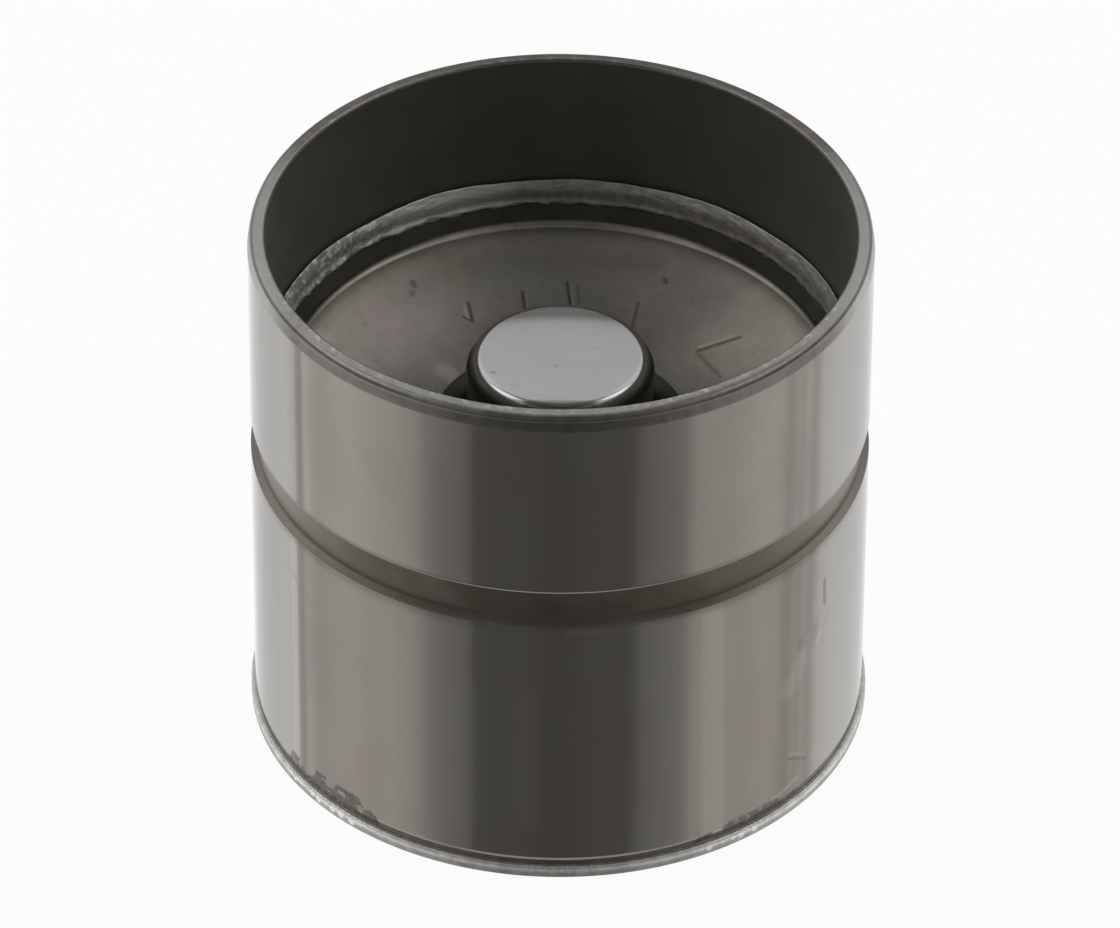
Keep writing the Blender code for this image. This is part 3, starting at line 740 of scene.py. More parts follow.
g = Steel("rim_steel")
arc, aside, height, radius, x, y, solid = g.at("Arc", "Aside", "Height", "Radius", "X", "Y", "Solid")
dents = g.clouds(0.9)
# A lit and a shaded copy of the rim's tint.
lit_rim_tint = g.drift(dents, (0.302, 0.292, 0.270), (0.357, 0.347, 0.324))
shaded_rim_tint = g.drift(dents, (0.188, 0.175, 0.155), (0.225, 0.208, 0.184))
# Painted shade darkens the outer part of the rim, the lower part of its chamfer and its back, and on the
# right the shaded outer part is wider.
right = g.band(arc, (3.0, 7.5), (13.0, 18.0))
outward = g.smooth(g.line(right, 0.17, radius), 17.02, 17.30, 0.0, 0.7)
painted_rim_shade = g.times(outward, g.line(right, 0.7, 1.0))
painted_rim_shade = g.math("MAXIMUM", g.smooth(height, 31.72, 31.92, 1.0, 0.0), painted_rim_shade)
painted_rim_shade = g.math("MAXIMUM", painted_rim_shade, g.smooth(y, 0.0, 12.0, 0.0, 1.25))
tint = g.mix(painted_rim_shade, lit_rim_tint, shaded_rim_tint)
# Painted highlights of small nicks shine along its inner edge, strongest at the front, and dark
# specks lie among them.
nicked = g.noise(solid, 2.2, 2.0, 0.6)
inner = g.times(g.smooth(radius, 16.75, 17.1, 1.0, 0.0), g.smooth(y, -6.0, 6.0, 0.9, 0.25))
tint = g.mix(g.times(g.smooth(nicked, 0.56, 0.66, 0.0, 0.8), inner), tint, (0.58, 0.565, 0.53))
tint = g.mix(g.smooth(nicked, 0.30, 0.42, 0.30, 0.0), tint, (0.13, 0.12, 0.105))
# The crest above the chamfer is painted a little brighter towards the front, as a painted highlight.
crest_highlight = g.times(g.smooth(aside, 5.0, 12.0, 1.0, 0.1), g.smooth(radius, 17.15, 17.25))
crest_highlight = g.times(crest_highlight, g.band(height, (31.77, 31.87), (31.98, 32.06), 0.85))
tint = g.mix(crest_highlight, tint, (0.43, 0.40, 0.35))
# Its far left and right are painted lighter, as painted highlight.
tint = g.mix(g.smooth(g.math("ABSOLUTE", x), 14.5, 16.8), tint, (0.40, 0.39, 0.37))
relief = g.line(dents, 26.0, g.rings("Radius", 0.05))
rim_steel = g.finish(tint, g.line(dents, 0.2, 0.24), relief, 0.0008)

# %% [markdown]
# ## The skirt
# A tube ground to 35 mm that slides in the cylinder head. Oil reaches it through the groove
# round its middle. The grinding wheel ran over the groove's edges and rounded them a little,
# and a turning tool broke the edge of the open rim.

# %% Turn the skirt
skirt_low, skirt_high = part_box("bucket_shell")
WALL_RADIUS = skirt_high.x
SKIRT_TOP = skirt_high.z
SKIRT_FOOT = skirt_low.z
BORE_RADIUS = WALL_RADIUS - 1.0 * MM
GROOVE_LOW = 17.70 * MM
GROOVE_HIGH = 20.055 * MM
GROOVE_RADIUS = WALL_RADIUS - 0.4 * MM
GROOVE_SLOPE = 0.2 * MM
CHAMFER_WIDTH = 0.14 * MM
CHAMFER_HEIGHT = 0.9 * MM
RIM_FALL = 0.08 * MM
RIM_BEVEL = 0.12 * MM
OIL_HOLE_DIAMETER = 1.5 * MM
GROOVE_MIDDLE = 0.5 * (GROOVE_LOW + GROOVE_HIGH)
SEAM_DEPTH = 0.075 * MM
EDGE_FOOT = FOOT_EDGE * MM
EDGE_BREAK = 0.08 * MM
EDGE_HEIGHT = 0.45 * MM
SKIRT_COLUMNS = 720
# The drill of the oil hole reaches over these distances behind the axis in mm.
DRILL_FROM, DRILL_TO, DRILL_SIDES = 15.5, 18.5, 48
GROUND, GROOVE, CHAMFER, RIM, BORE, SEAM = range(6)

skirt_corners = [
    (BORE_RADIUS, SKIRT_FOOT, 0.02, SEAM),
    (WALL_RADIUS - SEAM_DEPTH, SKIRT_FOOT, 0.01, SEAM),
    (WALL_RADIUS - SEAM_DEPTH, EDGE_FOOT - 0.02 * MM, 0.01, SEAM),
    (WALL_RADIUS - EDGE_BREAK, EDGE_FOOT, 0.03, GROUND),
    (WALL_RADIUS, EDGE_FOOT + EDGE_HEIGHT, 0.5, GROUND),
    (WALL_RADIUS, GROOVE_LOW, 0.05, GROOVE),
    (GROOVE_RADIUS, GROOVE_LOW + GROOVE_SLOPE, 0.12, GROOVE),
    (GROOVE_RADIUS, GROOVE_HIGH - GROOVE_SLOPE, 0.12, GROOVE),
    (WALL_RADIUS, GROOVE_HIGH, 0.3, GROUND),
    (WALL_RADIUS, SKIRT_TOP - CHAMFER_HEIGHT, 0.9, CHAMFER),
    (WALL_RADIUS - CHAMFER_WIDTH, SKIRT_TOP - RIM_FALL, 0.36, RIM),
    (BORE_RADIUS + RIM_BEVEL, SKIRT_TOP, 0.18, RIM),
    (BORE_RADIUS, SKIRT_TOP - 1.2 * RIM_BEVEL, 0.2, BORE),
]
skirt_finishes = [ground_steel, groove_steel, rim_steel, rim_steel, bore_steel, seam_steel]
skirt = turned("skirt", skirt_corners, SKIRT_COLUMNS, skirt_finishes, step=4.0)
drill_circle = circle(OIL_HOLE_DIAMETER / 2 / MM, DRILL_SIDES)
drill_grid = np.array([[(x, y, z) for x, z in drill_circle] for y in (DRILL_FROM, DRILL_TO)])
drill_grid = drill_grid * MM + (0, 0, GROOVE_MIDDLE)
drill_ends = [(0, y * MM, GROOVE_MIDDLE) for y in (DRILL_FROM, DRILL_TO)]
# The drill's faces point inwards, so this cut takes nothing away: only the CAD part has the oil hole.
cut_away(skirt, capped("drill", drill_grid, drill_ends, seam_steel))
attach(skirt, "bucket")
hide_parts("bucket_shell")
print("skirt:", len(skirt.data.polygons), "faces")

# %% [markdown]
# ## The crown plate
# The hardened disc that the cam slides on. It closes the foot of the skirt and is brazed in,
# so a dark seam runs above its bright, slightly proud edge.

# %% Turn the crown plate
_, crown_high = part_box("crown_plate")
LIP_RADIUS = crown_high.x
CROWN_TOP = crown_high.z
LIP_TOP = 0.71 * MM
SPIGOT_RADIUS = 16.45 * MM
BRAZE_RADIUS = WALL_RADIUS - SEAM_DEPTH
CHANNEL_HALF = 1.15 * MM
CHANNEL_DEPTH = 0.5 * MM
CHANNEL_END = 6.9 * MM
# The ring-shaped relief inside: its two upper edges, its two lower ones and its floor.
RELIEF_OUTER, RELIEF_INNER = 14.45 * MM, 6.2 * MM
RELIEF_OUTER_FOOT, RELIEF_INNER_FOOT = 13.85 * MM, 6.8 * MM
RELIEF_FLOOR = 2.6 * MM
CROWN_COLUMNS = 880
EDGE, CAM_FACE, INSIDE, BRAZE = range(4)
# The burr lies on the lip between these heights in mm.
BURR_FOOT, BURR_TOP = 0.3, 0.78
# Its zones: middle and width in degrees from the front, strength.
BURR_ZONES = ((-49, 13, 1.0), (-1, 9, 0.8), (33, 12, 0.8))
# Finer beads, painted nearly white as painted sparkle, lie thick in three stretches of the lip's upper
# edge, in degrees, at one height.
FINE_STRETCHES, FINE_HEIGHT = ((-60, -38), (-9.5, 6.5), (27, 42)), 0.58
# Beads of braze on the lip, painted nearly white as painted sparkle: degrees from the front, height and
# diameter in mm.
BRAZE_BEADS = [
    (-59.0, 0.46, 0.16), (-57.6, 0.36, 0.20), (-55.4, 0.50, 0.16), (-52.0, 0.42, 0.26), (-50.1, 0.34, 0.32),
    (-46.2, 0.40, 0.34), (-44.0, 0.38, 0.36), (-41.3, 0.32, 0.34), (-8.2, 0.50, 0.24), (-6.6, 0.50, 0.26),
    (-4.6, 0.50, 0.20), (-2.9, 0.46, 0.20), (-1.1, 0.46, 0.24), (0.9, 0.50, 0.20), (2.1, 0.40, 0.22),
    (4.2, 0.48, 0.24), (28.9, 0.40, 0.32), (34.1, 0.48, 0.26), (35.9, 0.44, 0.34), (39.0, 0.44, 0.34),
]


def arc_at(degrees):
    """The arc on the wall in mm for degrees from the front."""
    return math.radians(degrees) * WALL_MM


g = Steel("crown_edge_steel")
unrolled, aside, height = g.at("Unrolled", "Aside", "Height")
cloud = g.clouds(0.7)
tint = g.drift(cloud, (0.63, 0.617, 0.582), (0.80, 0.785, 0.75))
# The lip's side is painted darker low down and brighter at its top edge, as painted shade and highlight.
tint = g.vector("MULTIPLY", tint, g.ramp(height, [(0.0, 0.70), (0.28, 0.74), (0.46, 1.2), (1.0, 1.2)]))
beads = [((arc_at(b), h), (arc_at(b) + 0.02, h), 0.5 * d, 0.55 * d, 1.0) for b, h, d in BRAZE_BEADS]
ends = [[(arc_at(end), FINE_HEIGHT) for end in stretch] for stretch in FINE_STRETCHES]
fine = g.smooth(g.noise(unrolled, 6.0, 1.0), 0.52, 0.62)
fine = g.times(fine, strokes(g, unrolled, [(*pair, 0.16, 0.16, 1.0) for pair in ends]), 0.85)
bead_sparkle = g.math("MAXIMUM", strokes(g, unrolled, beads), fine)
tint = g.mix(bead_sparkle, tint, (0.98, 0.975, 0.96))
# Towards the front the beads are less metallic, so their painted sparkle stays bright there.
metal = g.line(g.times(bead_sparkle, g.smooth(aside, 4.0, 7.0, 0.8, 0.25)), -1.0, 1.0)
gloss = g.line(bead_sparkle, -0.25, g.line(cloud, 0.1, 0.5))
relief = g.line(bead_sparkle, 6.0, g.rings("Height", 0.06))
edge_steel = g.finish(tint, gloss, relief, 0.0006, Metallic=metal)
face_steel = simple_steel("cam_face_steel", (0.36, 0.34, 0.31), (0.42, 0.40, 0.37), 0.2)
inside_steel = simple_steel("crown_inside_steel", (0.20, 0.19, 0.17), (0.28, 0.26, 0.24), 0.35)
crown_corners = [
    (0.0, 0.0, 0, CAM_FACE),
    (LIP_RADIUS, 0.0, 0.05, EDGE),
    (LIP_RADIUS, LIP_TOP, 0.20, EDGE),
    (BRAZE_RADIUS, LIP_TOP, 0.03, BRAZE),
    (BRAZE_RADIUS, SKIRT_FOOT, 0.01, INSIDE),
    (SPIGOT_RADIUS, SKIRT_FOOT, 0.03, INSIDE),
    (SPIGOT_RADIUS, CROWN_TOP, 0.15, INSIDE),
    (RELIEF_OUTER, CROWN_TOP, 0.1, INSIDE),
    (RELIEF_OUTER_FOOT, RELIEF_FLOOR, 0.2, INSIDE),
    (RELIEF_INNER_FOOT, RELIEF_FLOOR, 0.2, INSIDE),
    (RELIEF_INNER, CROWN_TOP, 0.1, INSIDE),
    (0.0, CROWN_TOP, 0, INSIDE),
]


def brazed(radius, height, bearing):
    """The crown with the burr of its braze on the lip and the oil channel across its middle.

    bearing is from +X. The burr rises by a ripple that is high where the zones are: each zone is
    exp(-((bearing - middle) / width) squared). The channel is the lower part of a round bar.
    """
    front = np.degrees(np.remainder(bearing + 2.5 * math.pi, 2 * math.pi) - math.pi)
    zones = np.zeros_like(front)
    for middle, width, strength in BURR_ZONES:
        zones += strength * hill(front, middle, width)
    coarse = ripple(bearing, height / MM, 200, 11)
    fine = ripple(bearing, radius / MM * 3, 700, 13)
    on_lip = (height > BURR_FOOT * MM) & (height < BURR_TOP * MM) & (radius > BRAZE_RADIUS)
    up = unit((height / MM - BURR_FOOT) / 0.3) * unit((radius - BRAZE_RADIUS) / MM / 0.08)
    rise = zones * (0.02 + 0.06 * coarse + 0.04 * fine)
    height = height + np.where(on_lip, rise * up, 0.0) * MM
    radius = radius - np.where(on_lip, unit(0.02 + 0.03 * fine) * zones, 0.0) * MM
    bar = (CHANNEL_HALF**2 + CHANNEL_DEPTH**2) / (2 * CHANNEL_DEPTH)
    across = radius * np.sin(bearing)
    bottom = CROWN_TOP - CHANNEL_DEPTH + bar - np.sqrt(np.maximum(bar**2 - across**2, 0))
    in_channel = (radius < CHANNEL_END) & (height > 2.5 * MM) & (np.abs(across) < CHANNEL_HALF)
    return radius, np.where(in_channel, np.minimum(height, bottom), height)


crown_finishes = [edge_steel, face_steel, inside_steel, seam_steel]
crown_steps = {EDGE: 0.06, CAM_FACE: 6.0}
crown = turned("crown", crown_corners, CROWN_COLUMNS, crown_finishes, fine=crown_steps, shape=brazed)
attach(crown, "bucket")
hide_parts("crown_plate")
print("crown:", len(crown.data.polygons), "faces")

# %% [markdown]
# ## The guide cup
# A pressed partition. Its turned-up edge is welded to the bore, the dish falls towards the
# middle, and a rounded funnel leads down into the tube that guides the hydraulic element.

# %% Turn the guide cup
cup_low, cup_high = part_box("guide_cup")
CUP_RADIUS = cup_high.x
BEAD_TOP = cup_high.z
GUIDE_FOOT = cup_low.z
GUIDE_BORE = 5.33 * MM
FLANGE_RADIUS = 16.09 * MM
FLANGE_TOP = 22.49 * MM
DISH_RADIUS = 15.57 * MM
DISH_RIM = 21.28 * MM
DISH_CENTRE = 18.0 * MM
DISH_SLOPE = (DISH_RIM - DISH_CENTRE) / (DISH_RADIUS - GUIDE_BORE)
CUP_SHEET = 1.1 * MM * math.hypot(1.0, DISH_SLOPE)
GUIDE_RADIUS = 6.53 * MM
TOE_START, TOE_END = 0.96, 1.12
CUP_COLUMNS = 850
BEAD, FLANGE, DISH, TUBE = range(4)


def weld_marks_and_sparkle(g, tint):
    """Marks of the welding: a stretch at the back left is nearly white, and flecks of spatter at the
    left end of the bead are painted white as painted sparkle.
    """
    arc, solid = g.at("Arc", "Solid")
    tint = g.mix(g.band(arc, (-53.5, -48.5), (-45.5, -41.0), 0.8), tint, (0.95, 0.93, 0.90))
    flecks = g.smooth(g.noise(solid, 2.6, 1.0), 0.55, 0.63)
    flecks = g.times(flecks, g.band(arc, (-50.0, -40.0), (-34.0, -30.0), 0.9))
    return g.mix(flecks, tint, (1.0, 0.99, 0.96))


bead_steel = simple_steel(
    "weld_bead_steel", (0.48, 0.463, 0.43), (0.64, 0.618, 0.582), 0.5,
    bump=0.003, cloud_size=0.6, metallic=0.6, spots=weld_marks_and_sparkle,
)
flange_steel = simple_steel("flange_steel", (0.135, 0.127, 0.110), (0.172, 0.161, 0.145), 0.6)
# The funnel, the guide tube and the underside of the cup are painted nearly black, as painted shade round
# the element.
tube_shade_steel = simple_steel(
    "guide_tube_shade_steel", (0.028, 0.026, 0.021), (0.042, 0.038, 0.031), 0.4, across="Height"
)

# Lines on the dish in mm: x and y of both ends, width, softness, strength.
DISH_TICKS = [
    ((0.36, 11.6), (0.55, 10.15), 0.08, 0.12, 0.7),
    ((0.95, 11.5), (1.05, 10.2), 0.05, 0.10, 0.35),
    ((-2.18, 10.85), (-2.08, 9.85), 0.08, 0.14, 0.7),
    ((-5.30, 9.75), (-5.05, 8.55), 0.08, 0.14, 0.7),
    ((-5.05, 8.55), (-5.55, 8.75), 0.09, 0.08, 0.7),
    ((4.45, 10.0), (4.1, 8.35), 0.10, 0.10, 0.5),
    ((7.83, 5.90), (10.23, 6.27), 0.08, 0.16, 0.65),
    ((7.75, 5.84), (9.1, 3.45), 0.06, 0.16, 0.45),
    ((5.95, 11.44), (6.05, 11.2), 0.10, 0.16, 0.6),
    ((-8.5, 10.7), (-8.4, 10.4), 0.10, 0.22, 0.5),
    ((-8.5, 9.95), (-8.5, 9.75), 0.10, 0.22, 0.35),
]
# Glints are painted highlights, most of them beside ticks.
DISH_GLINTS = [
    ((0.52, 11.5), (0.72, 10.15), 0.06, 0.10, 0.5),
    ((-2.02, 10.8), (-1.92, 9.9), 0.06, 0.10, 0.5),
    ((-5.50, 9.6), (-5.3, 8.7), 0.10, 0.12, 0.6),
    ((-6.6, 4.55), (-6.35, 4.45), 0.5, 0.6, 0.2),
    ((7.9, 6.15), (10.0, 6.5), 0.06, 0.12, 0.5),
]
DISH_SHADE = [((7.1, 8.9), (9.6, 11.6), 1.2, 3.0, 1.0)]
# Radius as a share of 16 mm and how bright the dish is painted there, as painted light and shade.
DISH_LIGHT_RADIUS = 16.0
DISH_LIGHT = [
    (0.43, 0.40), (0.56, 0.62), (0.65, 0.91), (0.81, 1.48), (0.895, 1.96), (0.925, 1.80), (0.942, 1.35),
    (0.958, 1.0), (1.0, 0.96),
]
g = Steel("dish_steel")
radius, x, y, flat = g.at("Radius", "X", "Y", "Flat")
cloud = g.clouds(4.5)
tint = g.drift(cloud, (0.282, 0.268, 0.228), (0.306, 0.268, 0.249), 0.38, 0.62)
# The dish is painted brighter towards its rim and darker towards the middle, as painted light and shade.
dish_mottle_and_light = g.ramp(g.math("DIVIDE", radius, DISH_LIGHT_RADIUS), DISH_LIGHT)
bend_shade = g.times(g.smooth(g.math("ABSOLUTE", x), 4.0, 9.0), g.smooth(radius, 15.15, 15.45))
for factor in (
    g.smooth(g.noise(flat, 0.9, 4.0, 0.6), 0.3, 0.7, 0.94, 1.06),
    g.smooth(g.noise(flat, 1.4, 2.0, 0.5), 0.27, 0.40, 0.90, 1.0),
    # Its rim is painted brightest at the back, and painted soft shade lies across it on the right.
    g.smooth(y, 12.6, 14.6, 1.0, 1.35),
    g.smooth(strokes(g, flat, DISH_SHADE), 0.0, 1.0, 1.0, 0.84),
    # The bend at its rim is painted darker on both sides than at the back, as painted shade.
    g.smooth(bend_shade, 0.0, 1.0, 1.0, 0.68),
):
    dish_mottle_and_light = g.vector("MULTIPLY", dish_mottle_and_light, factor)
tint = g.vector("MULTIPLY", tint, dish_mottle_and_light)
tint = g.mix(strokes(g, flat, DISH_GLINTS), tint, (0.42, 0.40, 0.36))
tint = g.mix(strokes(g, flat, DISH_TICKS), tint, (0.06, 0.055, 0.045))
dish_steel = g.finish(tint, g.line(cloud, 0.08, 0.27), g.rings("Radius", 0.2, 3.0), 0.001)
print("the dish has", len(DISH_TICKS) + len(DISH_GLINTS), "marks")


def dish_height(radius):
    """Height of the dish: it rises in a straight line from the guide bore to its rim."""
    return DISH_RIM - DISH_SLOPE * (DISH_RADIUS - radius)


cup_corners = [
    (CUP_RADIUS, BEAD_TOP, 0.02, BEAD),
    (FLANGE_RADIUS, FLANGE_TOP, 0.15, FLANGE),
    (DISH_RADIUS, DISH_RIM, 0.55, DISH),
    (GUIDE_BORE, DISH_CENTRE, 2.8, TUBE),
    (GUIDE_BORE, GUIDE_FOOT, 0.05, TUBE),
    (GUIDE_RADIUS, GUIDE_FOOT, 0.3, TUBE),
    (GUIDE_RADIUS, dish_height(GUIDE_RADIUS) - CUP_SHEET, 1.7, TUBE),
    (CUP_RADIUS, dish_height(CUP_RADIUS) - CUP_SHEET, 1.4, TUBE),
]


def welded(radius, height, bearing):
    """The weld bead: metal that creeps up the bore, a soft roll and, at the left, a second one.

    share runs from 0 at the bead's top to 1 at its toe. A roll is amount * exp(-((share - place)
    / width) squared), and the metal stands out towards the axis by the sum.
    """
    share = (BEAD_TOP - height) / (BEAD_TOP - FLANGE_TOP)
    on_bead = (share > -0.02) & (share < TOE_END) & (radius > DISH_RADIUS + 0.25 * MM)
    left = 0.5 + 0.5 * np.cos(bearing - math.radians(150))
    wander = ripple(bearing, 0 * share, 14, 3)
    coarse = ripple(bearing, share, 90, 5)
    fine = ripple(bearing, share * 2, 300, 7)
    creep = (0.14 + 0.07 * wander + 0.02 * coarse) * unit(1 - share) ** 2
    upper = 0.26 * hill(share, 0.42 + 0.04 * wander, 0.32) * (1 + 0.05 * coarse)
    lower = (0.06 + 0.08 * left**2) * hill(share, 0.92, 0.08)
    crevice = 0.07 * left**4 * hill(share, 0.72 + 0.03 * wander, 0.07)
    out = upper + lower * (1 + 0.5 * coarse + 0.15 * fine) - crevice + 0.004 * fine
    sag = (0.08 + 0.07 * coarse + 0.04 * wander) * np.clip(share - 0.7, 0, 0.3) / 0.3
    toe = unit((TOE_END - share) / (TOE_END - TOE_START))
    out = np.where(on_bead, out * unit(share / 0.1) * toe, 0.0) * MM
    lift = np.where(on_bead, creep - sag * toe, 0.0) * MM
    sunk = np.where(on_bead, 0.08 * unit(1 - share / 0.12), 0.0) * MM
    return radius - np.maximum(out, -0.1 * MM) + sunk, height + lift


cup_finishes = [bead_steel, flange_steel, dish_steel, tube_shade_steel]
cup_steps = {BEAD: 0.06, FLANGE: 0.12, TUBE: 3.0}
cup = turned("cup", cup_corners, CUP_COLUMNS, cup_finishes, fine=cup_steps, shape=welded)
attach(cup, "bucket")
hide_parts("guide_cup")
print("cup:", len(cup.data.polygons), "faces")

# %% [markdown]
# ## The end of the hydraulic element
# The closed end of a small cylinder, lapped bright where the valve stem runs on it. It is very
# slightly crowned, so its far edge mirrors the dark wall of the skirt.

# %% Turn the element's cylinder
element_low, element_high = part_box("element_cylinder")
ELEMENT_RADIUS = element_high.x
ELEMENT_TOP = element_high.z
ELEMENT_FOOT = element_low.z
FACE_CROWN_RADIUS = 119 * MM
FACE_RADIUS = 4.80 * MM
CROWNED_DEPTH = 1.5 * MM
SHOULDER_DROP = 0.95 * MM
ELEMENT_INSIDE = 4.03 * MM
ELEMENT_ROOF = 21.0 * MM
RING_GROOVE_RADIUS = 4.85 * MM
RING_GROOVE_LOW, RING_GROOVE_HIGH = 7.25 * MM, 8.15 * MM
FACE, SIDE = range(2)
# The element's side is painted nearly black, as painted shade down in the funnel.
side_shade_steel = simple_steel(
    "element_side_shade_steel", (0.045, 0.042, 0.036), (0.065, 0.061, 0.053), 0.3, across="Height"
)

# Dark places on the face in mm: x and y of both ends, width, softness, strength. The first one
# is painted shade along its front edge, and the others are small pits.
FACE_PITS_AND_SHADE = [
    ((-1.75, -4.78), (1.75, -4.78), 0.55, 0.35, 0.75),
    ((-3.84, -1.75), (-3.70, -1.78), 0.10, 0.10, 0.55),
    ((-0.26, -1.18), (-0.20, -1.24), 0.12, 0.12, 0.25),
    ((1.9, 0.55), (2.05, 0.58), 0.06, 0.08, 0.2),
    ((1.95, -1.7), (2.0, -1.75), 0.08, 0.1, 0.15),
    ((-2.6, -2.9), (-2.5, -2.95), 0.15, 0.2, 0.15),
]
g = Steel("element_face_steel", 0.84)
radius, y, flat = g.at("Radius", "Y", "Flat")
cloud = g.clouds(2.5)
tint = g.drift(cloud, (0.448, 0.442, 0.431), (0.473, 0.461, 0.452))
tint = g.mix(strokes(g, flat, FACE_PITS_AND_SHADE), tint, (0.15, 0.15, 0.13))
# Its far edge is painted a little brighter, as a painted highlight, and is duller in its gloss.
far_edge_highlight = g.smooth(y, 3.5, 4.4, 0.0, 0.35)
tint = g.mix(far_edge_highlight, tint, (0.62, 0.61, 0.59))
# The valve has polished the face; outside its contact the shoulder is painted nearly black, as painted
# shade.
shoulder_shade = g.smooth(radius, 4.86, 5.18)
tint = g.mix(shoulder_shade, tint, (0.042, 0.040, 0.034))
gloss = g.line(far_edge_highlight, 0.2, g.line(cloud, 0.04, g.line(shoulder_shade, 0.22, 0.10)))
face_bright = g.finish(tint, gloss, g.rings("Radius", 0.05), 0.0002)


def crowned(radius, height, bearing):
    """The face falls away from its middle as a shallow sphere does: by r * r / (2 * crown)."""
    drop = np.minimum(radius, ELEMENT_RADIUS) ** 2 / (2 * FACE_CROWN_RADIUS)
    share = unit((height - (ELEMENT_TOP - CROWNED_DEPTH)) / CROWNED_DEPTH)
    return radius, height - share * drop


element_corners = [
    (0.0, ELEMENT_ROOF, 0, SIDE),
    (ELEMENT_INSIDE, ELEMENT_ROOF, 0.4, SIDE),
    (ELEMENT_INSIDE, ELEMENT_FOOT, 0.3, SIDE),
    (ELEMENT_RADIUS, ELEMENT_FOOT, 0.3, SIDE),
    (ELEMENT_RADIUS, RING_GROOVE_LOW, 0.02, SIDE),
    (RING_GROOVE_RADIUS, RING_GROOVE_LOW, 0.02, SIDE),
    (RING_GROOVE_RADIUS, RING_GROOVE_HIGH, 0.02, SIDE),
    (ELEMENT_RADIUS, RING_GROOVE_HIGH, 0.02, SIDE),
    (ELEMENT_RADIUS, ELEMENT_TOP - SHOULDER_DROP, 0.35, FACE),
    (FACE_RADIUS, ELEMENT_TOP, 0.5, FACE),
    (0.0, ELEMENT_TOP, 0, FACE),
]
element_finishes = [face_bright, side_shade_steel]
element = turned("element", element_corners, 512, element_finishes, shape=crowned)
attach(element, "element")
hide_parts("element_cylinder")
print("element:", len(element.data.polygons), "faces")

# %% [markdown]
# ## The plunger and its one-way valve
# They are sealed inside. The plunger is a lapped hollow piston that stands on the crown. A ball
# closes the seat on its top, under a pressed cage with three windows for the oil.

# %% Turn the plunger
plunger_low, plunger_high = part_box("plunger")
PLUNGER_RADIUS = plunger_high.x
PLUNGER_TOP = plunger_high.z
PLUNGER_FOOT = plunger_low.z
PLUNGER_INSIDE = PLUNGER_RADIUS - 1.3 * MM
PLUNGER_ROOF = PLUNGER_TOP - 1.6 * MM
SEAT_MOUTH = 1.473 * MM
SEAT_HOLE = 1.153 * MM
LEAK_TOP = PLUNGER_TOP - 4.0 * MM
LEAK_FOOT = LEAK_TOP - 0.8 * MM
LEAK_DEPTH = 0.25 * MM
lapped_steel = simple_steel("plunger_steel", (0.50, 0.48, 0.45), (0.56, 0.54, 0.51), 0.16, across="Height")
plunger_corners = [
    (SEAT_HOLE, PLUNGER_TOP - (SEAT_MOUTH - SEAT_HOLE), 0.02, 0),
    (SEAT_HOLE, PLUNGER_ROOF, 0.05, 0),
    (PLUNGER_INSIDE, PLUNGER_ROOF, 0.4, 0),
    (PLUNGER_INSIDE, PLUNGER_FOOT, 0.3, 0),
    (PLUNGER_RADIUS, PLUNGER_FOOT, 0.4, 0),
    (PLUNGER_RADIUS, LEAK_FOOT, 0.02, 0),
    (PLUNGER_RADIUS - LEAK_DEPTH, LEAK_FOOT + LEAK_DEPTH, 0.05, 0),
    (PLUNGER_RADIUS - LEAK_DEPTH, LEAK_TOP - LEAK_DEPTH, 0.05, 0),
    (PLUNGER_RADIUS, LEAK_TOP, 0.02, 0),
    (PLUNGER_RADIUS, PLUNGER_TOP, 0.3, 0),
    (SEAT_MOUTH, PLUNGER_TOP, 0.02, 0),
]
plunger = turned("piston", plunger_corners, 192, [lapped_steel])
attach(plunger, "bucket")
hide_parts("plunger")
print("plunger:", len(plunger.data.polygons), "faces")

# %% Press the ball's cage and make the ball
cage_low, cage_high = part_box("ball_cage")
ball_low, ball_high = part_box("check_ball")
CAGE_SHEET = 0.35 * MM
CAGE_ROOM = 2.05 * MM
POCKET_RADIUS = 0.96 * MM
CAGE_SHOULDER = 16.45 * MM
WINDOW_HALF = 0.75 * MM
WINDOW_FROM, WINDOW_TO = 1.6 * MM, 3.0 * MM
WINDOW_MARGIN = 0.3 * MM
FLANGE_HIGH = cage_low.z + CAGE_SHEET
BALL_ROWS, BALL_COLUMNS = 33, 64
cage_steel = simple_steel("cage_steel", (0.30, 0.28, 0.25), (0.38, 0.36, 0.33), 0.3)
cage_corners = [
    (0.0, cage_high.z - CAGE_SHEET, 0, 0),
    (POCKET_RADIUS, cage_high.z - CAGE_SHEET, 0.1, 0),
    (POCKET_RADIUS, CAGE_SHOULDER, 0.1, 0),
    (CAGE_ROOM, CAGE_SHOULDER, 0.1, 0),
    (CAGE_ROOM, cage_low.z, 0.05, 0),
    (cage_high.x, cage_low.z, 0.1, 0),
    (cage_high.x, FLANGE_HIGH, 0.1, 0),
    (CAGE_ROOM + CAGE_SHEET, FLANGE_HIGH, 0.05, 0),
    (CAGE_ROOM + CAGE_SHEET, CAGE_SHOULDER + CAGE_SHEET, 0.35, 0),
    (POCKET_RADIUS + CAGE_SHEET, CAGE_SHOULDER + CAGE_SHEET, 0.1, 0),
    (POCKET_RADIUS + CAGE_SHEET, cage_high.z, 0.35, 0),
    (0.0, cage_high.z, 0, 0),
]
cage = turned("cap", cage_corners, 96, [cage_steel], step=0.5)
window = [(WINDOW_FROM, -WINDOW_HALF), (WINDOW_TO, -WINDOW_HALF), (WINDOW_TO, WINDOW_HALF)]
window = np.array([*window, (WINDOW_FROM, WINDOW_HALF)])
low, high = FLANGE_HIGH + WINDOW_MARGIN, CAGE_SHOULDER - WINDOW_MARGIN
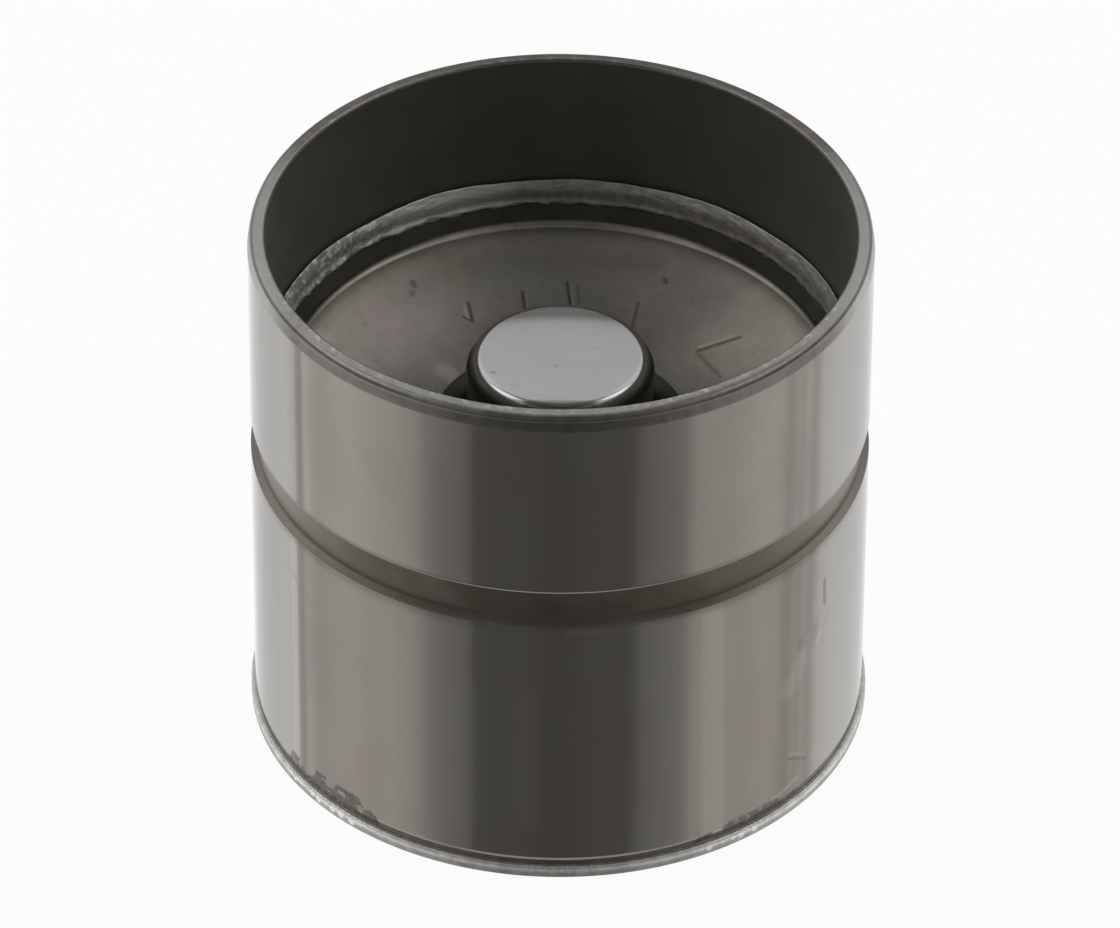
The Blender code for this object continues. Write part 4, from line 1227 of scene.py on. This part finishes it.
for index in range(3):
    turn = index * 2 * math.pi / 3
    corners = window @ [(math.cos(turn), math.sin(turn)), (-math.sin(turn), math.cos(turn))]
    grid = np.array([[(x, y, z) for x, y in corners] for z in (low, high)])
    ends = [(*corners.mean(0), z) for z in (low, high)]
    cut_away(cage, capped("punch", grid, ends, cage_steel))
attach(cage, "bucket")
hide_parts("ball_cage")

ball_steel = simple_steel("check_ball_steel", (0.68, 0.68, 0.68), (0.72, 0.72, 0.72), 0.05, bump=0.0)
BALL_RADIUS = ball_high.x
BALL_MIDDLE = 0.5 * (ball_low.z + ball_high.z)
rise = np.linspace(-0.5, 0.5, BALL_ROWS)[1:-1, None] * math.pi
turn = np.arange(BALL_COLUMNS) * 2 * math.pi / BALL_COLUMNS
ball_grid = [np.cos(rise) * np.cos(turn), np.cos(rise) * np.sin(turn), np.sin(rise) + 0 * turn]
ball_grid = BALL_RADIUS * np.stack(ball_grid, -1) + (0, 0, BALL_MIDDLE)
ball_poles = ((0, 0, BALL_MIDDLE - BALL_RADIUS), (0, 0, BALL_MIDDLE + BALL_RADIUS))
valve = capped("valve", ball_grid, ball_poles, ball_steel)
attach(valve, "valve_ball")
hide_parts("check_ball")
print("cage and ball:", len(cage.data.polygons), "and", len(valve.data.polygons), "faces")

# %% [markdown]
# ## The springs and the retaining ring
# A spring could be a curve with a bevel. A swept grid gives the same wire with fewer steps, and
# its end turns lie close as on a real spring.

# %% Wind the springs and bend the ring
CLOSED_TURNS = 0.8
CLOSED_GAP = 0.1 * MM


def coil(radius, low, high, turns, thickness, count):
    """The middle of a spring's wire: an even helix whose first and last 0.8 turns lie close.

    The height of the wire grows by the closed pitch in the end turns and by the open pitch
    between them.
    """
    turn = np.linspace(0, turns, count)
    closed = thickness + CLOSED_GAP
    open_turns = turns - 2 * CLOSED_TURNS
    open_pitch = (high - low - thickness - 2 * CLOSED_TURNS * closed) / open_turns
    rise = closed * np.minimum(turn, CLOSED_TURNS)
    rise += open_pitch * np.clip(turn - CLOSED_TURNS, 0, open_turns)
    rise += closed * np.maximum(turn - (turns - CLOSED_TURNS), 0)
    angle = 2 * math.pi * turn
    return np.stack([radius * np.cos(angle), radius * np.sin(angle), low + thickness / 2 + rise], -1)


wire_steel = simple_steel("spring_wire_steel", (0.42, 0.41, 0.39), (0.50, 0.49, 0.47), 0.25, bump=0.001)
# Name, node, radius, turns, wire, points, sides, joint, travel, and if its fixed end is the top.
SPRINGS = [
    ("lifting_coil", "return_spring", 3.215, 4.25, 0.8, 400, 24, "element_slide", 3.0, False),
    ("closing_coil", "ball_spring", 0.80, 3.0, 0.22, 200, 16, "ball_lift", 0.25, True),
]
for name, node, radius, turns, thickness, count, sides, joint, travel, from_top in SPRINGS:
    low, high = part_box(node)
    path = coil(radius * MM, low.z, high.z, turns, thickness * MM, count)
    spring = swept(name, path, thickness * MM, sides, wire_steel)
    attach(spring, "bucket")
    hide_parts(node)
    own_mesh(spring)
ring_low, ring_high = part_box("retaining_ring")
RING_WIRE = ring_high.z - ring_low.z
RING_HALF_OPENING = math.radians(12)
angle = np.linspace(RING_HALF_OPENING, 2 * math.pi - RING_HALF_OPENING, 241)
ring_path = ELEMENT_RADIUS * np.stack([np.cos(angle), np.sin(angle), 0 * angle], -1)
ring_path = ring_path + (0, 0, ring_low.z + RING_WIRE / 2)
snap_ring = swept("snap_ring", ring_path, RING_WIRE, 24, wire_steel)
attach(snap_ring, "element")
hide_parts("retaining_ring")
print("springs and ring are in place")

# %% [markdown]
# ## Sizes
# The dressed lifter has to fill the same box as the imported one.

# %% Print the sizes
visual_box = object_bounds()
for label, (low, high) in (("cad", cad_box), ("visual", visual_box)):
    print(label, [round(v / MM, 3) for v in low], [round(v / MM, 3) for v in high])
